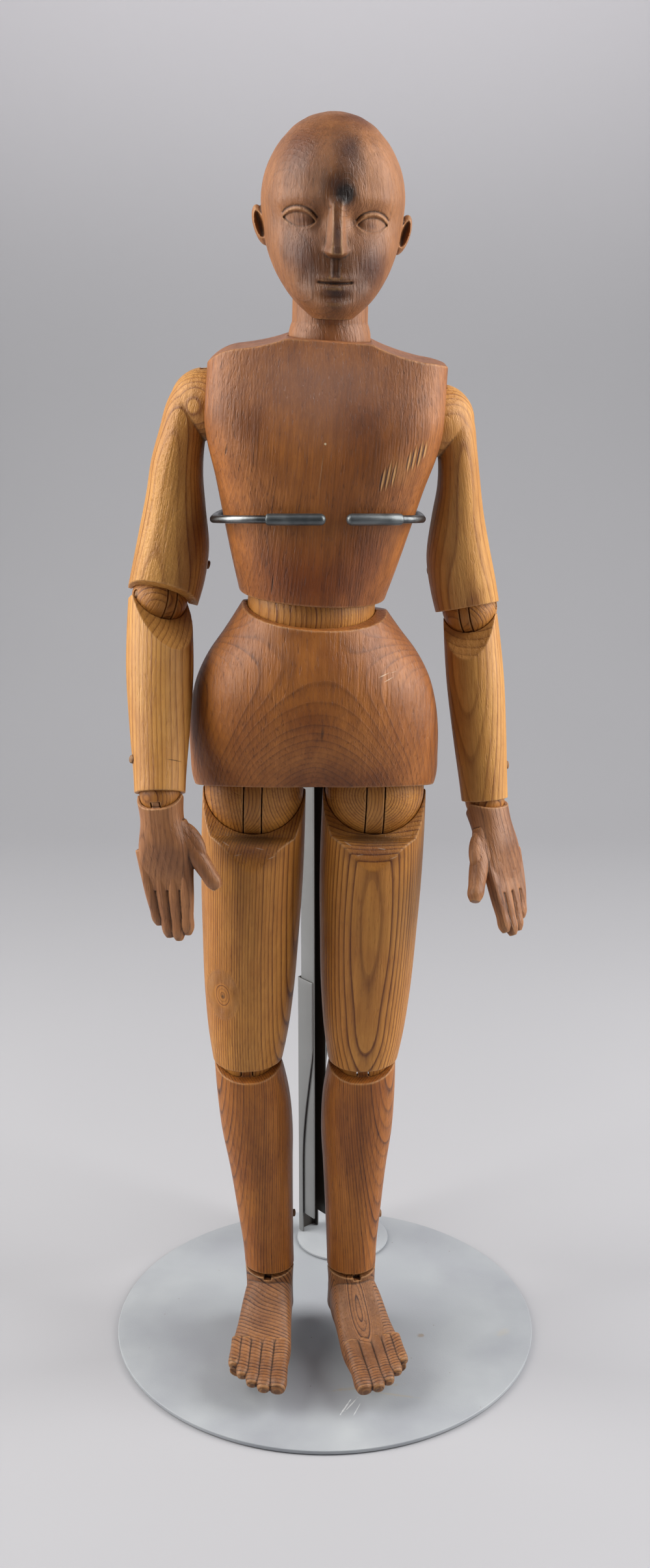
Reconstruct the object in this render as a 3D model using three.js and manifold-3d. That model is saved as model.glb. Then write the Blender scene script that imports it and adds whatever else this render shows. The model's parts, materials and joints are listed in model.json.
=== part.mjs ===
// A carved wooden lay figure on a steel stand: slotted balls on stems, tongues on pins, and a spring clip.
// Millimetres, +Z up, the figure faces -Y. The origin is the centre of the plate's underside.
import * as THREE from "three";
import { mergeVertices } from "three/addons/utils/BufferGeometryUtils.js";
import Module from "manifold-3d";

const wasm = await Module();
wasm.setup();

// Clearances
const CLEAR = 0.3; // between neighbouring pieces
const FLUSH = 0.5; // a tongue stays this far inside its ball's surface

// Stand: plate and flange
const PLATE_DIAMETER = 305;
const PLATE_THICKNESS = 3;
const FLANGE_DIAMETER = 72;
const FLANGE_THICKNESS = 2;
const FLANGE_X = 14;
const FLANGE_Y = 112;

// Stand: a folded channel that slides in a wider one, open towards the front right
const POST_X = -9;
const POST_Y = 119;
const POST_TURN = 40;
const POST_WIDTH = 13;
const POST_DEPTH = 16;
const POST_SHEET = 1.5;
const POST_FOOT = 16;
const SLEEVE_HEIGHT = 225;
const SLEEVE_STRIP = 6;
const SLEEVE_SWEEP_START = 65;
const SLEEVE_SWEEP_END = 185;

// Stand: the spring wire round the chest
const CLIP_WIRE = 5;
const CLIP_RISE = 54.5; // of the wire's level part, over the waist ball's centre
const CLIP_TILT = 8.5; // degrees that the arms of the clip climb towards their tips
const CLIP_GAP = 1.9;
const CLIP_MOUTH = 9;
const CLIP_MOUTH_X = 3.5;
const CLIP_TIP_DIAMETER = 7.2;
const CLIP_TIP_LENGTH = 36;
const CLIP_TIP_END = 2; // how far a sleeve closes past the wire's end
const CLIP_WRAP = 118;

// Figure: place and lean in the photographed pose, in degrees
const FIGURE_Y = -23;
const WAIST_X = -8.8;
const WAIST_Z = 545.5;
const CLIP_HEIGHT = WAIST_Z + CLIP_RISE;
const TORSO_ROLL = 4;
const HEAD_TURN = 3;
const HEAD_ROLL = -2.4;

// Waist: a large turned ball between chest and hips
const WAIST_RADIUS = 41;
const WAIST_STEM = 12;
const WAIST_STEM_LENGTH = 66;
const WAIST_TONGUE = 14;
const WAIST_HUB = 14;
const WAIST_PIN = 4;
const WAIST_CUT = 9;

// Torso
const TORSO_RIM = 7; // height of the lower rim over the waist ball's centre
const TORSO_TOP = 166;
const TORSO_WAIST_WIDTH = 92;
const TORSO_CHEST_WIDTH = 150;
const TORSO_WAIST_DEPTH = 90;
const TORSO_CHEST_DEPTH = 91;
const TORSO_TOP_DEPTH = 64;
const COLLAR_WIDTH = 52;
const RIGHT_SHOULDER_EDGE = 149; // where each shoulder's outline starts to round over
const LEFT_SHOULDER_EDGE = 136;
const RIGHT_SHOULDER_ROUND = 3; // and how far in it has turned
const LEFT_SHOULDER_ROUND = 9;
const SHOULDER_SLOPE_TOP = 157.5;

// Neck and head
const NECK_HEIGHT = 165;
const NECK_Y = 4;
const NECK_BALL = 25.5;
const NECK_RADIUS = 23.3;
const NECK_STUB = 8.5;
const NECK_STUB_LENGTH = 24;
const NECK_TONGUE = 10;
const NECK_PIN = 3;
const NECK_NOD = 23; // the slot's opening each way, a little over the nod
const CHIN_HEIGHT = 14;
const HEAD_TOP = 132;
const HEAD_WIDTH = 87;
const FACE_FRONT = 47;
const HEAD_BACK = 56;
const EAR_HEIGHT = 66;
const EAR_OUT = 46.5;
const NOSE_TIP = 57;
const NOSE_BASE = 50.5;
const NOSE_BRIDGE = 77;
const EYE_HEIGHT = 70;
const EYE_SPACING = 43;
const MOUTH_HEIGHT = 36.4;
const MOUTH_REACH = 14;
const MOUTH_DEPTH = 1.8;

// Shoulders
const SHOULDER_HEIGHT = 120.5;
const SHOULDER_Y = 6;
const SHOULDER_BALL = 22.5;
const SHOULDER_STUB = 8;
const SHOULDER_STUB_LENGTH = 24;
const SHOULDER_TONGUE = 10;
const SHOULDER_PIN = 2.6;
const SHOULDER_PIN_LENGTH = 35; // plugged over, so that no end shows
const RIGHT_SHOULDER_INSET = 1; // each shoulder's centre lies this far inside the chest's widest line
const LEFT_SHOULDER_INSET = 3.5;
const FLANK_INSET = 1.8; // and the flat seat for the arm this far
const FLANK_SEAT_RADIUS = 47;

// Upper arm, elbow, forearm, wrist
const UPPER_ARM_LENGTH = 126.5;
const UPPER_ARM_WIDTH = 47.6;
const UPPER_ARM_DEPTH = 46;
const LEFT_ARM_SLIM = 2.7; // the left arm is carved this much narrower on each side
const ELBOW_RADIUS = 18;
const ELBOW_STEM = 6;
const ELBOW_STEM_LENGTH = 38;
const ELBOW_PEG_HEIGHT = 27;
const ELBOW_TONGUE = 6.4;
const ELBOW_PIN = 2.8;
const ELBOW_FRONT_CUT = 60;
const ELBOW_BACK_CUT = 4;
const ELBOW_RISE = 8; // degrees that the strip reaches up in front
const RIGHT_ELBOW_LIFT = 30; // degrees that the upper arm's end climbs in front
const LEFT_ELBOW_LIFT = 20;
const FOREARM_LENGTH = 127.5;
const FOREARM_WIDTH = 43.2;
const FOREARM_WRIST_WIDTH = 32.4;
const WRIST_RADIUS = 13;
const WRIST_STEM = 5;
const WRIST_STEM_LENGTH = 32;
const WRIST_PEG_HEIGHT = 22;
const WRIST_TONGUE = 5.4;
const WRIST_PIN = 2;
const WRIST_CUT = 30;

// Hand
const PALM_LENGTH = 56;
const PALM_WIDTH = 36;
const PALM_DEPTH = 18;
const FINGER_WIDTH = 9;
const FINGER_CURL = 4;
const FINGER_GATHER = 0.3; // share of a finger's offset that its tip comes in
const THUMB_LENGTH = 44;
const THUMB_WIDTH = 12;
const THUMB_SPLAY = 27;

// Pelvis and hips
const PELVIS_LENGTH = 120.5;
const PELVIS_WIDTH = 162.6;
const PELVIS_FRONT = 55;
const PELVIS_BACK = 61;
const HIP_SPACING = 79.4;
const HIP_X = 1.8;
const HIP_DROP = 123;
const HIP_RADIUS = 32.8;
const HIP_STEM = 9;
const HIP_STEM_LENGTH = 62;
const HIP_TONGUE = 11.4;
const HIP_HUB = 12;
const HIP_PIN = 4;
const HIP_FRONT_CUT = 51;
const HIP_BACK_CUT = 12;
const HIP_RISE = 20; // degrees that the strip reaches up in front
const HIP_ROUND_START = 22; // the thigh's sloped top rounds over from this far in front of the ball's centre
const HIP_ROUND_END = 80; // down to this far under it
const HIP_TILT = 2;
const PELVIS_FRONT_RISE = 14; // degrees that the underside rises forwards of the hip line
const PELVIS_BACK_RISE = 4;

// Thigh, knee, shin, ankle
const THIGH_LENGTH = 196;
const THIGH_WIDTH = 68.6;
const THIGH_DEPTH = 75;
const THIGH_KNEE_WIDTH = 47.6;
const KNEE_RADIUS = 19.2;
const KNEE_STEM = 7.5;
const KNEE_STEM_LENGTH = 70;
const KNEE_PEG_HEIGHT = 58;
const KNEE_TONGUE = 7.4;
const KNEE_PIN = 3;
const KNEE_BACK_CUT = 62;
const KNEE_FRONT_CUT = 18;
const KNEE_TILT = -3.2;
const SHIN_LENGTH = 162;
const SHIN_WIDTH = 50;
const SHIN_ANKLE_WIDTH = 34.8;
const SHIN_INSET = 10.4; // the ankle lies this far nearer the other leg than the knee
const ANKLE_RADIUS = 13.2;
const ANKLE_STEM = 5.5;
const ANKLE_STEM_LENGTH = 46;
const ANKLE_PEG_HEIGHT = 36;
const ANKLE_TONGUE = 5.6;
const ANKLE_PIN = 2.2;
const ANKLE_FRONT_CUT = 7;
const ANKLE_BACK_CUT = 22;
const ANKLE_TILT = 1.2;

// Foot
const FOOT_HEIGHT = 50.5; // sole to ankle centre
const FOOT_WIDTH = 44;
const HEEL_BACK = 32;
const TOE_FRONT = 92;
const TOE_SPRING = 4;

// Retaining pegs
const PEG_RADIUS = 2.7;
const PEG_BITE = 1.4; // how deep a peg sits in its stem's groove
const PEG_PROUD = 1.6;

// Rims: the upper piece stops this far over a ball's centre, and the lower one this far under it
const RIM_OVER = 1.6;
const RIM_UNDER = 0.4;

// Facets
const BALL_SIDES = 12;
const LOFT_SIDES = 12;
const STEM_SIDES = 10;
const PEG_SIDES = 6;
const FAR = 400; // reach of a cutting solid past the piece it cuts

const rad = THREE.MathUtils.degToRad;

// The pose of each side: X sign, then angles in degrees
const SIDES = [
  {
    name: "right",
    sign: -1,
    slim: 0,
    shoulderX: TORSO_CHEST_WIDTH / 2 - RIGHT_SHOULDER_INSET,
    swing: 0,
    raise: 10.7,
    elbowTwist: 30.5,
    elbowBend: 28.5,
    wristTwist: -46,
    wristBend: -17,
    fingerLength: 43,
    footTurn: -4,
    elbowPegSide: 1,
    elbowLift: RIGHT_ELBOW_LIFT,
  },
  {
    name: "left",
    sign: 1,
    slim: LEFT_ARM_SLIM,
    shoulderX: TORSO_CHEST_WIDTH / 2 - LEFT_SHOULDER_INSET,
    swing: 9,
    raise: 14.8,
    elbowTwist: -14,
    elbowBend: 21,
    wristTwist: 62,
    wristBend: 14,
    fingerLength: 37,
    footTurn: 14,
    elbowPegSide: -1,
    elbowLift: LEFT_ELBOW_LIFT,
  },
];

// Finishes
const finish = (color, roughness, metalness = 0) => ({ color, roughness, metalness });
const DARK_WOOD = finish(0x8d5a3c, 0.55);
const HONEY_WOOD = finish(0xc08a4e, 0.6);
const BROWN_WOOD = finish(0x9a6236, 0.58);
const RED_WOOD = finish(0x8f5735, 0.55);
const PALE_WOOD = finish(0xb98150, 0.6);
const PEG_WOOD = finish(0x6b442a, 0.65);
const GREY_PAINT = finish(0x9aa1a6, 0.5, 0.1);
const POST_PAINT = finish(0xa9acac, 0.4, 0.3);
const STEEL = finish(0x55585a, 0.35, 0.9);
const SLEEVING = finish(0x7b7e80, 0.45, 0.2);

// A closed solid from a geometry whose shared corners are merged.
function solid(geometry) {
  const bare = geometry.clone();
  bare.deleteAttribute("normal");
  bare.deleteAttribute("uv");
  const merged = mergeVertices(bare, 1e-4);
  return new wasm.Manifold(
    new wasm.Mesh({
      numProp: 3,
      vertProperties: merged.attributes.position.array,
      triVerts: new Uint32Array(merged.index.array),
    }),
  );
}

// A solid back as a geometry.
function geometryOf(made) {
  const mesh = made.getMesh();
  const geometry = new THREE.BufferGeometry();
  geometry.setAttribute("position", new THREE.BufferAttribute(mesh.vertProperties, 3));
  geometry.setIndex(new THREE.BufferAttribute(mesh.triVerts, 1));
  geometry.computeVertexNormals();
  return geometry;
}

function node(parent, name, made, look) {
  const mesh = new THREE.Mesh(geometryOf(made), new THREE.MeshStandardMaterial(look));
  mesh.name = name;
  parent.add(mesh);
}

function group(parent, position = [0, 0, 0], rotation = [0, 0, 0]) {
  const made = new THREE.Group();
  made.position.set(...position);
  made.rotation.set(...rotation.map(rad));
  parent.add(made);
  return made;
}

// A smooth run of section sizes through a few stations of [height, half width, front, back, centre x, power].
function sectionsOf(stations) {
  const rows = stations
    .map(([z, half, front, back, centre = 0, power = 2]) => [z, half, front, back, centre, power])
    .sort((a, b) => a[0] - b[0]);
  const heights = rows.map((row) => row[0]);
  const run = new THREE.CubicInterpolant(heights, rows.flatMap((row) => row.slice(1)), 5);
  return { heights, at: (z) => [...run.evaluate(z)] };
}

// How far a loft reaches from its centre line towards the given X sign, at a height and a depth.
function reachAt(stations, z, y, sign) {
  const [half, front, back, centre, power] = sectionsOf(stations).at(z);
  const share = Math.abs(y - (back - front) / 2) / ((front + back) / 2);
  return centre + sign * half * (1 - share ** power) ** (1 / power);
}

const bend = (value, power) => Math.sign(value) * Math.abs(value) ** (2 / power);

// A closed loft along Z through oval sections that may flatten towards a rectangle.
function loft(stations, sides = LOFT_SIDES) {
  const { heights, at } = sectionsOf(stations);
  const levels = heights;
  const points = [];
  const middles = [];
  for (const z of levels) {
    const [half, front, back, centre, power] = at(z);
    const middle = (back - front) / 2;
    middles.push([centre, middle, z]);
    for (let i = 0; i < sides; i++) {
      const angle = (2 * Math.PI * i) / sides;
      const x = centre + half * bend(Math.cos(angle), power);
      points.push(x, middle + ((front + back) / 2) * bend(Math.sin(angle), power), z);
    }
  }
  const last = levels.length - 1;
  const bottom = points.length / 3;
  points.push(...middles[0], ...middles[last]);
  const faces = [];
  for (let j = 0; j < sides; j++) {
    const next = (j + 1) % sides;
    for (let i = 0; i < last; i++) {
      const [a, b] = [i * sides + j, i * sides + next];
      faces.push(a, b, b + sides, a, b + sides, a + sides);
    }
    faces.push(bottom, next, j, bottom + 1, last * sides + j, last * sides + next);
  }
  const geometry = new THREE.BufferGeometry();
  geometry.setAttribute("position", new THREE.Float32BufferAttribute(points, 3));
  geometry.setIndex(faces);
  return solid(geometry);
}

function sphere(radius, sides = BALL_SIDES) {
  return solid(new THREE.SphereGeometry(radius, sides, sides / 2).rotateX(Math.PI / 2));
}

// A ball-shaped cutter whose flat facets all stay outside the given radius.
function hollow(radius, sides = BALL_SIDES) {
  return sphere(radius / Math.cos(Math.PI / sides) ** 2, sides);
}

function rodZ(radius, from, to, sides = BALL_SIDES) {
  const rod = new THREE.CylinderGeometry(radius, radius, to - from, sides).rotateX(Math.PI / 2);
  return solid(rod.translate(0, 0, (from + to) / 2));
}

// A round hole's cutter, outside its radius at every facet.
const boreZ = (radius, from, to, sides = BALL_SIDES) =>
  rodZ(radius / Math.cos(Math.PI / sides), from, to, sides);

// A rod along X at a height and depth, between two places.
function rodX(radius, from, to, y = 0, z = 0, sides = PEG_SIDES) {
  const rod = new THREE.CylinderGeometry(radius, radius, Math.abs(to - from), sides).rotateZ(Math.PI / 2);
  return solid(rod.translate((from + to) / 2, y, z));
}

const boreX = (radius, from, to, y, z, sides = PEG_SIDES) =>
  rodX(radius / Math.cos(Math.PI / sides), from, to, y, z, sides);

function block(x0, x1, y0, y1, z0, z1) {
  const box = new THREE.BoxGeometry(x1 - x0, y1 - y0, z1 - z0);
  return solid(box.translate((x0 + x1) / 2, (y0 + y1) / 2, (z0 + z1) / 2));
}

function shapeOf(points) {
  return new THREE.Shape(points.map(([a, b]) => new THREE.Vector2(a, b)));
}

const axis = (x, y, z) => new THREE.Vector3(x, y, z);

// A flat shape drawn out about the middle, then stood up along the given axes.
function drawn(shape, depth, ...axes) {
  const made = new THREE.ExtrudeGeometry(shape, { depth, bevelEnabled: false, curveSegments: 4 });
  made.translate(0, 0, -depth / 2);
  return solid(made.applyMatrix4(new THREE.Matrix4().makeBasis(...axes)));
}

// A side outline in Y and Z, drawn out to a width along X about the middle.
const prismX = (points, width) => drawn(shapeOf(points), width, axis(0, 1, 0), axis(0, 0, 1), axis(1, 0, 0));

// A front outline in X and Z, drawn out along Y about the middle.
const prismY = (shape, depth) => drawn(shape, depth, axis(1, 0, 0), axis(0, 0, 1), axis(0, -1, 0));

// A point of a joint's side outline: the angle goes up from the side that the joint folds to.
const polar = (degrees, radius) => [-radius * Math.cos(rad(degrees)), radius * Math.sin(rad(degrees))];

function arc(from, to, radius, steps) {
  const turn = (to - from) / steps;
  return Array.from({ length: steps + 1 }, (_, i) => polar(from + turn * i, radius));
}

// What a slotted ball joint is made of. `facing` is 1 where it folds forwards and -1 where backwards.
// A blind slot stays inside the ball; an open one shows the strip, which reaches up by `rise` degrees.
function joint(sizes) {
  const hub = sizes.hub ?? sizes.radius * 0.42;
  return { facing: 1, rise: 0, sides: BALL_SIDES, tenon: 16, ...sizes, hub };
}

const WAIST = joint({
  radius: WAIST_RADIUS,
  stem: WAIST_STEM,
  stemLength: WAIST_STEM_LENGTH,
  tongue: WAIST_TONGUE,
  hub: WAIST_HUB,
  pin: WAIST_PIN,
  foldCut: WAIST_CUT,
  otherCut: WAIST_CUT,
  blind: true,
  sides: 16,
});
const HIP = joint({
  radius: HIP_RADIUS,
  stem: HIP_STEM,
  stemLength: HIP_STEM_LENGTH,
  tongue: HIP_TONGUE,
  hub: HIP_HUB,
  pin: HIP_PIN,
  foldCut: HIP_FRONT_CUT,
  otherCut: HIP_BACK_CUT,
  rise: HIP_RISE,
  roundOver: THIGH_DEPTH / 2,
  sides: 14,
  tenon: 26,
});
const KNEE = joint({
  radius: KNEE_RADIUS,
  stem: KNEE_STEM,
  stemLength: KNEE_STEM_LENGTH,
  pegHeight: KNEE_PEG_HEIGHT,
  tongue: KNEE_TONGUE,
  pin: KNEE_PIN,
  foldCut: KNEE_BACK_CUT,
  otherCut: KNEE_FRONT_CUT,
  facing: -1,
  sides: 12,
});
const ANKLE = joint({
  radius: ANKLE_RADIUS,
  stem: ANKLE_STEM,
  stemLength: ANKLE_STEM_LENGTH,
  pegHeight: ANKLE_PEG_HEIGHT,
  tongue: ANKLE_TONGUE,
  pin: ANKLE_PIN,
  foldCut: ANKLE_FRONT_CUT,
  otherCut: ANKLE_BACK_CUT,
  tenon: 8,
  sides: 10,
});
const ELBOW = joint({
  radius: ELBOW_RADIUS,
  stem: ELBOW_STEM,
  stemLength: ELBOW_STEM_LENGTH,
  pegHeight: ELBOW_PEG_HEIGHT,
  tongue: ELBOW_TONGUE,
  pin: ELBOW_PIN,
  foldCut: ELBOW_FRONT_CUT,
  otherCut: ELBOW_BACK_CUT,
  rise: ELBOW_RISE,
  tenon: 22,
  sides: 12,
});
const WRIST = joint({
  radius: WRIST_RADIUS,
  stem: WRIST_STEM,
  stemLength: WRIST_STEM_LENGTH,
  pegHeight: WRIST_PEG_HEIGHT,
  tongue: WRIST_TONGUE,
  pin: WRIST_PIN,
  foldCut: WRIST_CUT,
  otherCut: WRIST_CUT,
  blind: true,
  tenon: 8,
  sides: 10,
});

// The side outline of a slot that is open in front and behind, as far up as the strip can swing.
function openSlot({ radius, foldCut, otherCut, rise }) {
  const reach = 3 * radius;
  const low = [[-2 * reach, -reach], [2 * reach, -reach]];
  return [[0, 0], polar(foldCut + rise + 2, reach), ...low, polar(178 - otherCut, reach)];
}

// The side outline of a slot that only opens below: its walls touch the strip's eye at the strip's limits.
function blindSlot({ radius, hub, foldCut, otherCut }) {
  const eye = hub + CLEAR;
  const wall = (cut) => {
    const start = polar(cut, eye);
    const along = polar(cut - 90, 3 * radius);
    return [start, [start[0] + along[0], start[1] + along[1]]];
  };
  const [foldTop, foldLow] = wall(foldCut + 2);
  const [otherTop, otherLow] = wall(otherCut + 2);
  return [foldTop, foldLow, [-otherLow[0], otherLow[1]], [-otherTop[0], otherTop[1]]];
}

// The ball with its stem and the stem's groove, slotted for the tongue. Its pin runs along X.
function slottedBall(spec, ownPin) {
  const { radius, stem, stemLength, pegHeight, sides, facing } = spec;
  const start = Math.asin(stem / radius);
  const steps = sides / 2 - 1;
  const outline = Array.from({ length: steps + 1 }, (_, i) => {
    const angle = THREE.MathUtils.lerp(Math.PI, start, i / steps);
    return [radius * Math.sin(angle), radius * Math.cos(angle)];
  });
  outline[0][0] = 0;
  if (pegHeight) {
    const half = PEG_RADIUS + 2 * PEG_BITE;
    outline.push([stem, pegHeight - half], [stem - 2 * PEG_BITE, pegHeight], [stem, pegHeight + half]);
  }
  outline.push([stem, stemLength], [0, stemLength]);
  const turned = new THREE.LatheGeometry(outline.map(([r, z]) => new THREE.Vector2(r, z)), sides);
  const wide = spec.tongue + 2 * CLEAR;
  const opening = spec.blind ? blindSlot(spec) : openSlot(spec);
  const slot = prismX(opening.map(([y, z]) => [facing * y, z]), wide);
  const eye = boreX(spec.hub + CLEAR, -wide / 2, wide / 2, 0, 0, sides);
  const ball = solid(turned.rotateX(Math.PI / 2)).subtract(slot).subtract(eye);
  if (ownPin) return ball.add(rodX(spec.pin, -radius * 0.8, radius * 0.8));
  return ball.subtract(boreX(spec.pin + CLEAR, -radius, radius, 0, 0));
}

// The pin across a ball, its ends flush with the ball.
const ballPin = (spec) => rodX(spec.pin, -spec.radius * 0.97, spec.radius * 0.97);

// The strip in a ball's slot: flush with the ball where the slot is open, with a tenon into the lower piece.
function tongue(spec) {
  const { radius, hub, facing, tenon, rise } = spec;
  const outer = radius - FLUSH;
  const lowest = -radius - tenon;
  const turn = THREE.MathUtils.radToDeg(Math.acos(hub / outer));
  const front = spec.blind ? [] : arc(rise, -turn, outer, 4);
  const behind = spec.blind ? [] : arc(180 + turn, 180, outer, 4);
  const outline = [...front, [-hub, lowest], [hub, lowest], ...behind, ...arc(180, 0, hub, 6)];
  const strip = prismX(outline.map(([y, z]) => [facing * y, z]), spec.tongue);
  return strip.subtract(boreX(spec.pin + CLEAR, -radius, radius, 0, 0));
}

// The hole for a separate tongue's tenon.
function mortise(spec) {
  const half = spec.hub + CLEAR;
  const wide = spec.tongue / 2 + CLEAR;
  return block(-wide, wide, -half, half, -spec.radius - spec.tenon - CLEAR, 0);
}

// Takes the ball's seat, its stem's bore and the peg's hole out of the piece above it, and levels the rim,
// which may climb in front by some degrees.
function seatUpper(piece, spec, frame, peg, lift = 0) {
  let tool = hollow(spec.radius + CLEAR, spec.sides);
  tool = tool.add(boreZ(spec.stem + CLEAR, 0, spec.stemLength + CLEAR, STEM_SIDES));
  const [climbY, climbZ] = polar(lift, FAR);
  const under = [[0, 0], [climbY, climbZ], [-FAR, -FAR], [FAR, -FAR], [FAR, 0]];
  tool = tool.add(prismX(under.map(([y, z]) => [spec.facing * y, z + RIM_OVER]), 2 * FAR));
  if (peg) {
    const [from, to] = [peg.from - peg.sign, peg.to + 9 * peg.sign];
    tool = tool.add(boreX(PEG_RADIUS + CLEAR, from, to, peg.y, spec.pegHeight));
  }
  return piece.subtract(tool.transform(frame.matrix.elements));
}

// The folding side of a piece's sloped top, rounded over into its front at the given depth.
function roundedSlope({ foldCut, roundOver }) {
  const fall = Math.tan(rad(foldCut));
  const start = axis(-HIP_ROUND_START, -HIP_ROUND_START * fall, 0);
  const corner = axis(-roundOver, -roundOver * fall, 0);
  const curve = new THREE.QuadraticBezierCurve3(start, corner, axis(-roundOver - 1, -HIP_ROUND_END, 0));
  return [...curve.getPoints(4).map((p) => [p.x, p.y]), [-FAR, -HIP_ROUND_END]];
}

// Takes the ball's seat out of the piece under it, and slopes its top so that the joint can fold.
function seatLower(piece, spec) {
  const { facing, foldCut, otherCut } = spec;
  const [foldY, foldZ] = polar(-foldCut, FAR);
  const [otherY, otherZ] = polar(180 + otherCut, FAR);
  const slope = spec.roundOver ? roundedSlope(spec) : [[foldY, foldZ]];
  const roof = [[0, 0], ...slope, [-FAR, FAR], [FAR, FAR], [otherY, otherZ]];
  return piece
    .subtract(prismX(roof.map(([y, z]) => [facing * y, z - RIM_UNDER]), 2 * FAR))
    .subtract(hollow(spec.radius + CLEAR, spec.sides));
}

// A retaining peg's run along X in a ball's own frame: beside the stem, and out through one side.
function pegRun(stations, length, spec, sign, centre = 0) {
  const y = spec.stem + PEG_RADIUS - PEG_BITE;
  const out = reachAt(stations, spec.pegHeight - length, y, sign) - centre;
  return { sign, y, from: -sign * (spec.stem + PEG_RADIUS), to: out + sign * PEG_PROUD };
}

const pegOf = (spec, run) => rodX(PEG_RADIUS, run.from, run.to, run.y, spec.pegHeight);

// A place for a joint: where its ball sits in the upper piece, with any lean of the stem's bore.
function seatFrame(parent, position, tilt = 0) {
  const frame = group(parent, position, [0, tilt, 0]);
  frame.updateMatrix();
  return frame;
}

const lookup = Object.fromEntries(SIDES.map((side) => [side.name, side]));

function upperArmStations(side) {
  const half = UPPER_ARM_WIDTH / 2 - side.slim;
  const deep = UPPER_ARM_DEPTH / 2;
  const out = side.sign;
  const lean = side.slim * 0.45;
  const rows = [
    [0.016, half - 10.5, deep - 0.6, 8.6 - side.slim],
    [0.174, half - 9.6 + lean, deep - 0.8, 9.8 - lean],
    [0.332, half - 7, deep - 1.2, 9.2 - side.slim],
    [0.49, half - 4.8, deep - 1.2, 5.6 - side.slim],
    [0.696, half - 1.2, deep - 0.6, 1.6],
    [0.87, half, deep, 0],
    [1, half - 0.8, deep - 0.5, 0],
  ];
  return rows.map(([t, w, d, c]) => [-t * UPPER_ARM_LENGTH, w, d, d, out * c, 2.3]);
}

function forearmStations(side) {
  const half = FOREARM_WIDTH / 2 - side.slim;
  const wrist = FOREARM_WRIST_WIDTH / 2 - side.slim / 3;
  const middle = (half + wrist) / 2;
  const rows = [
    [-0.016, half - 1.6, half - 1],
    [0.188, half - 0.4, half],
    [0.345, half, half],
    [0.675, middle + 0.4, middle],
    [0.925, wrist + 0.4, wrist + 0.4],
    [1, wrist, wrist],
  ];
  return rows.map(([t, w, d]) => [-t * FOREARM_LENGTH, w, d, d]);
}

function thighStations() {
  const half = THIGH_WIDTH / 2;
  const deep = THIGH_DEPTH / 2;
  const knee = THIGH_KNEE_WIDTH / 2;
  const rows = [
    [-0.01, half - 0.3, deep - 1.5, deep - 1],
    [0.112, half, deep, deep],
    [0.316, half - 0.2, deep - 0.5, deep],
    [0.52, half - 1.7, deep - 2.5, deep - 1.5],
    [0.74, half - 4, deep - 6, deep - 5],
    [0.893, knee + 3.4, knee + 5, knee + 5.5],
    [1, knee, knee + 1.6, knee + 2],
  ];
  return rows.map(([t, ...sizes]) => [-t * THIGH_LENGTH, ...sizes]);
}

function shinStations(side) {
  const half = SHIN_WIDTH / 2;
  const ankle = SHIN_ANKLE_WIDTH / 2;
  const rows = [
    [-0.012, half - 2, half, half, 0],
    [0.16, half, half, half + 3, 0.29],
    [0.352, half - 0.3, half - 2, half + 6, 0.48],
    [0.506, half - 2.6, half - 4, half + 4, 0.635],
    [0.74, ankle + 2.2, ankle + 1.2, ankle + 6, 0.827],
    [0.926, ankle + 0.3, ankle, ankle + 1.5, 0.97],
    [1, ankle, ankle, ankle + 0.4, 1],
  ];
  return rows.map(([t, w, f, b, c]) => [-t * SHIN_LENGTH, w, f, b, -side.sign * SHIN_INSET * c]);
}

const TORSO_STATIONS = [
  [0, TORSO_WAIST_WIDTH / 2 - 1.5, TORSO_WAIST_DEPTH / 2, TORSO_WAIST_DEPTH / 2, 0, 2.05],
  [30, TORSO_WAIST_WIDTH / 2 + 7, TORSO_WAIST_DEPTH / 2 + 1, TORSO_WAIST_DEPTH / 2, 0, 2.2],
  [55, TORSO_CHEST_WIDTH / 2 - 15.5, TORSO_CHEST_DEPTH / 2 + 0.5, TORSO_CHEST_DEPTH / 2 - 0.5, 0, 2.4],
  [79, TORSO_CHEST_WIDTH / 2 - 9.5, TORSO_CHEST_DEPTH / 2 + 1.5, TORSO_CHEST_DEPTH / 2 - 0.5, 0, 2.7],
  [102, TORSO_CHEST_WIDTH / 2 - 3, TORSO_CHEST_DEPTH / 2 + 1.5, TORSO_CHEST_DEPTH / 2 - 0.5, 0, 3.1],
  [121, TORSO_CHEST_WIDTH / 2, TORSO_CHEST_DEPTH / 2, TORSO_CHEST_DEPTH / 2 - 1, 0, 3.4],
  [144, TORSO_CHEST_WIDTH / 2 - 0.5, TORSO_TOP_DEPTH / 2 + 8, TORSO_TOP_DEPTH / 2 + 8, 0, 3.4],
  [TORSO_TOP + 6, TORSO_CHEST_WIDTH / 2 - 1, TORSO_TOP_DEPTH / 2, TORSO_TOP_DEPTH / 2, 0, 3.2],
];

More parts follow.
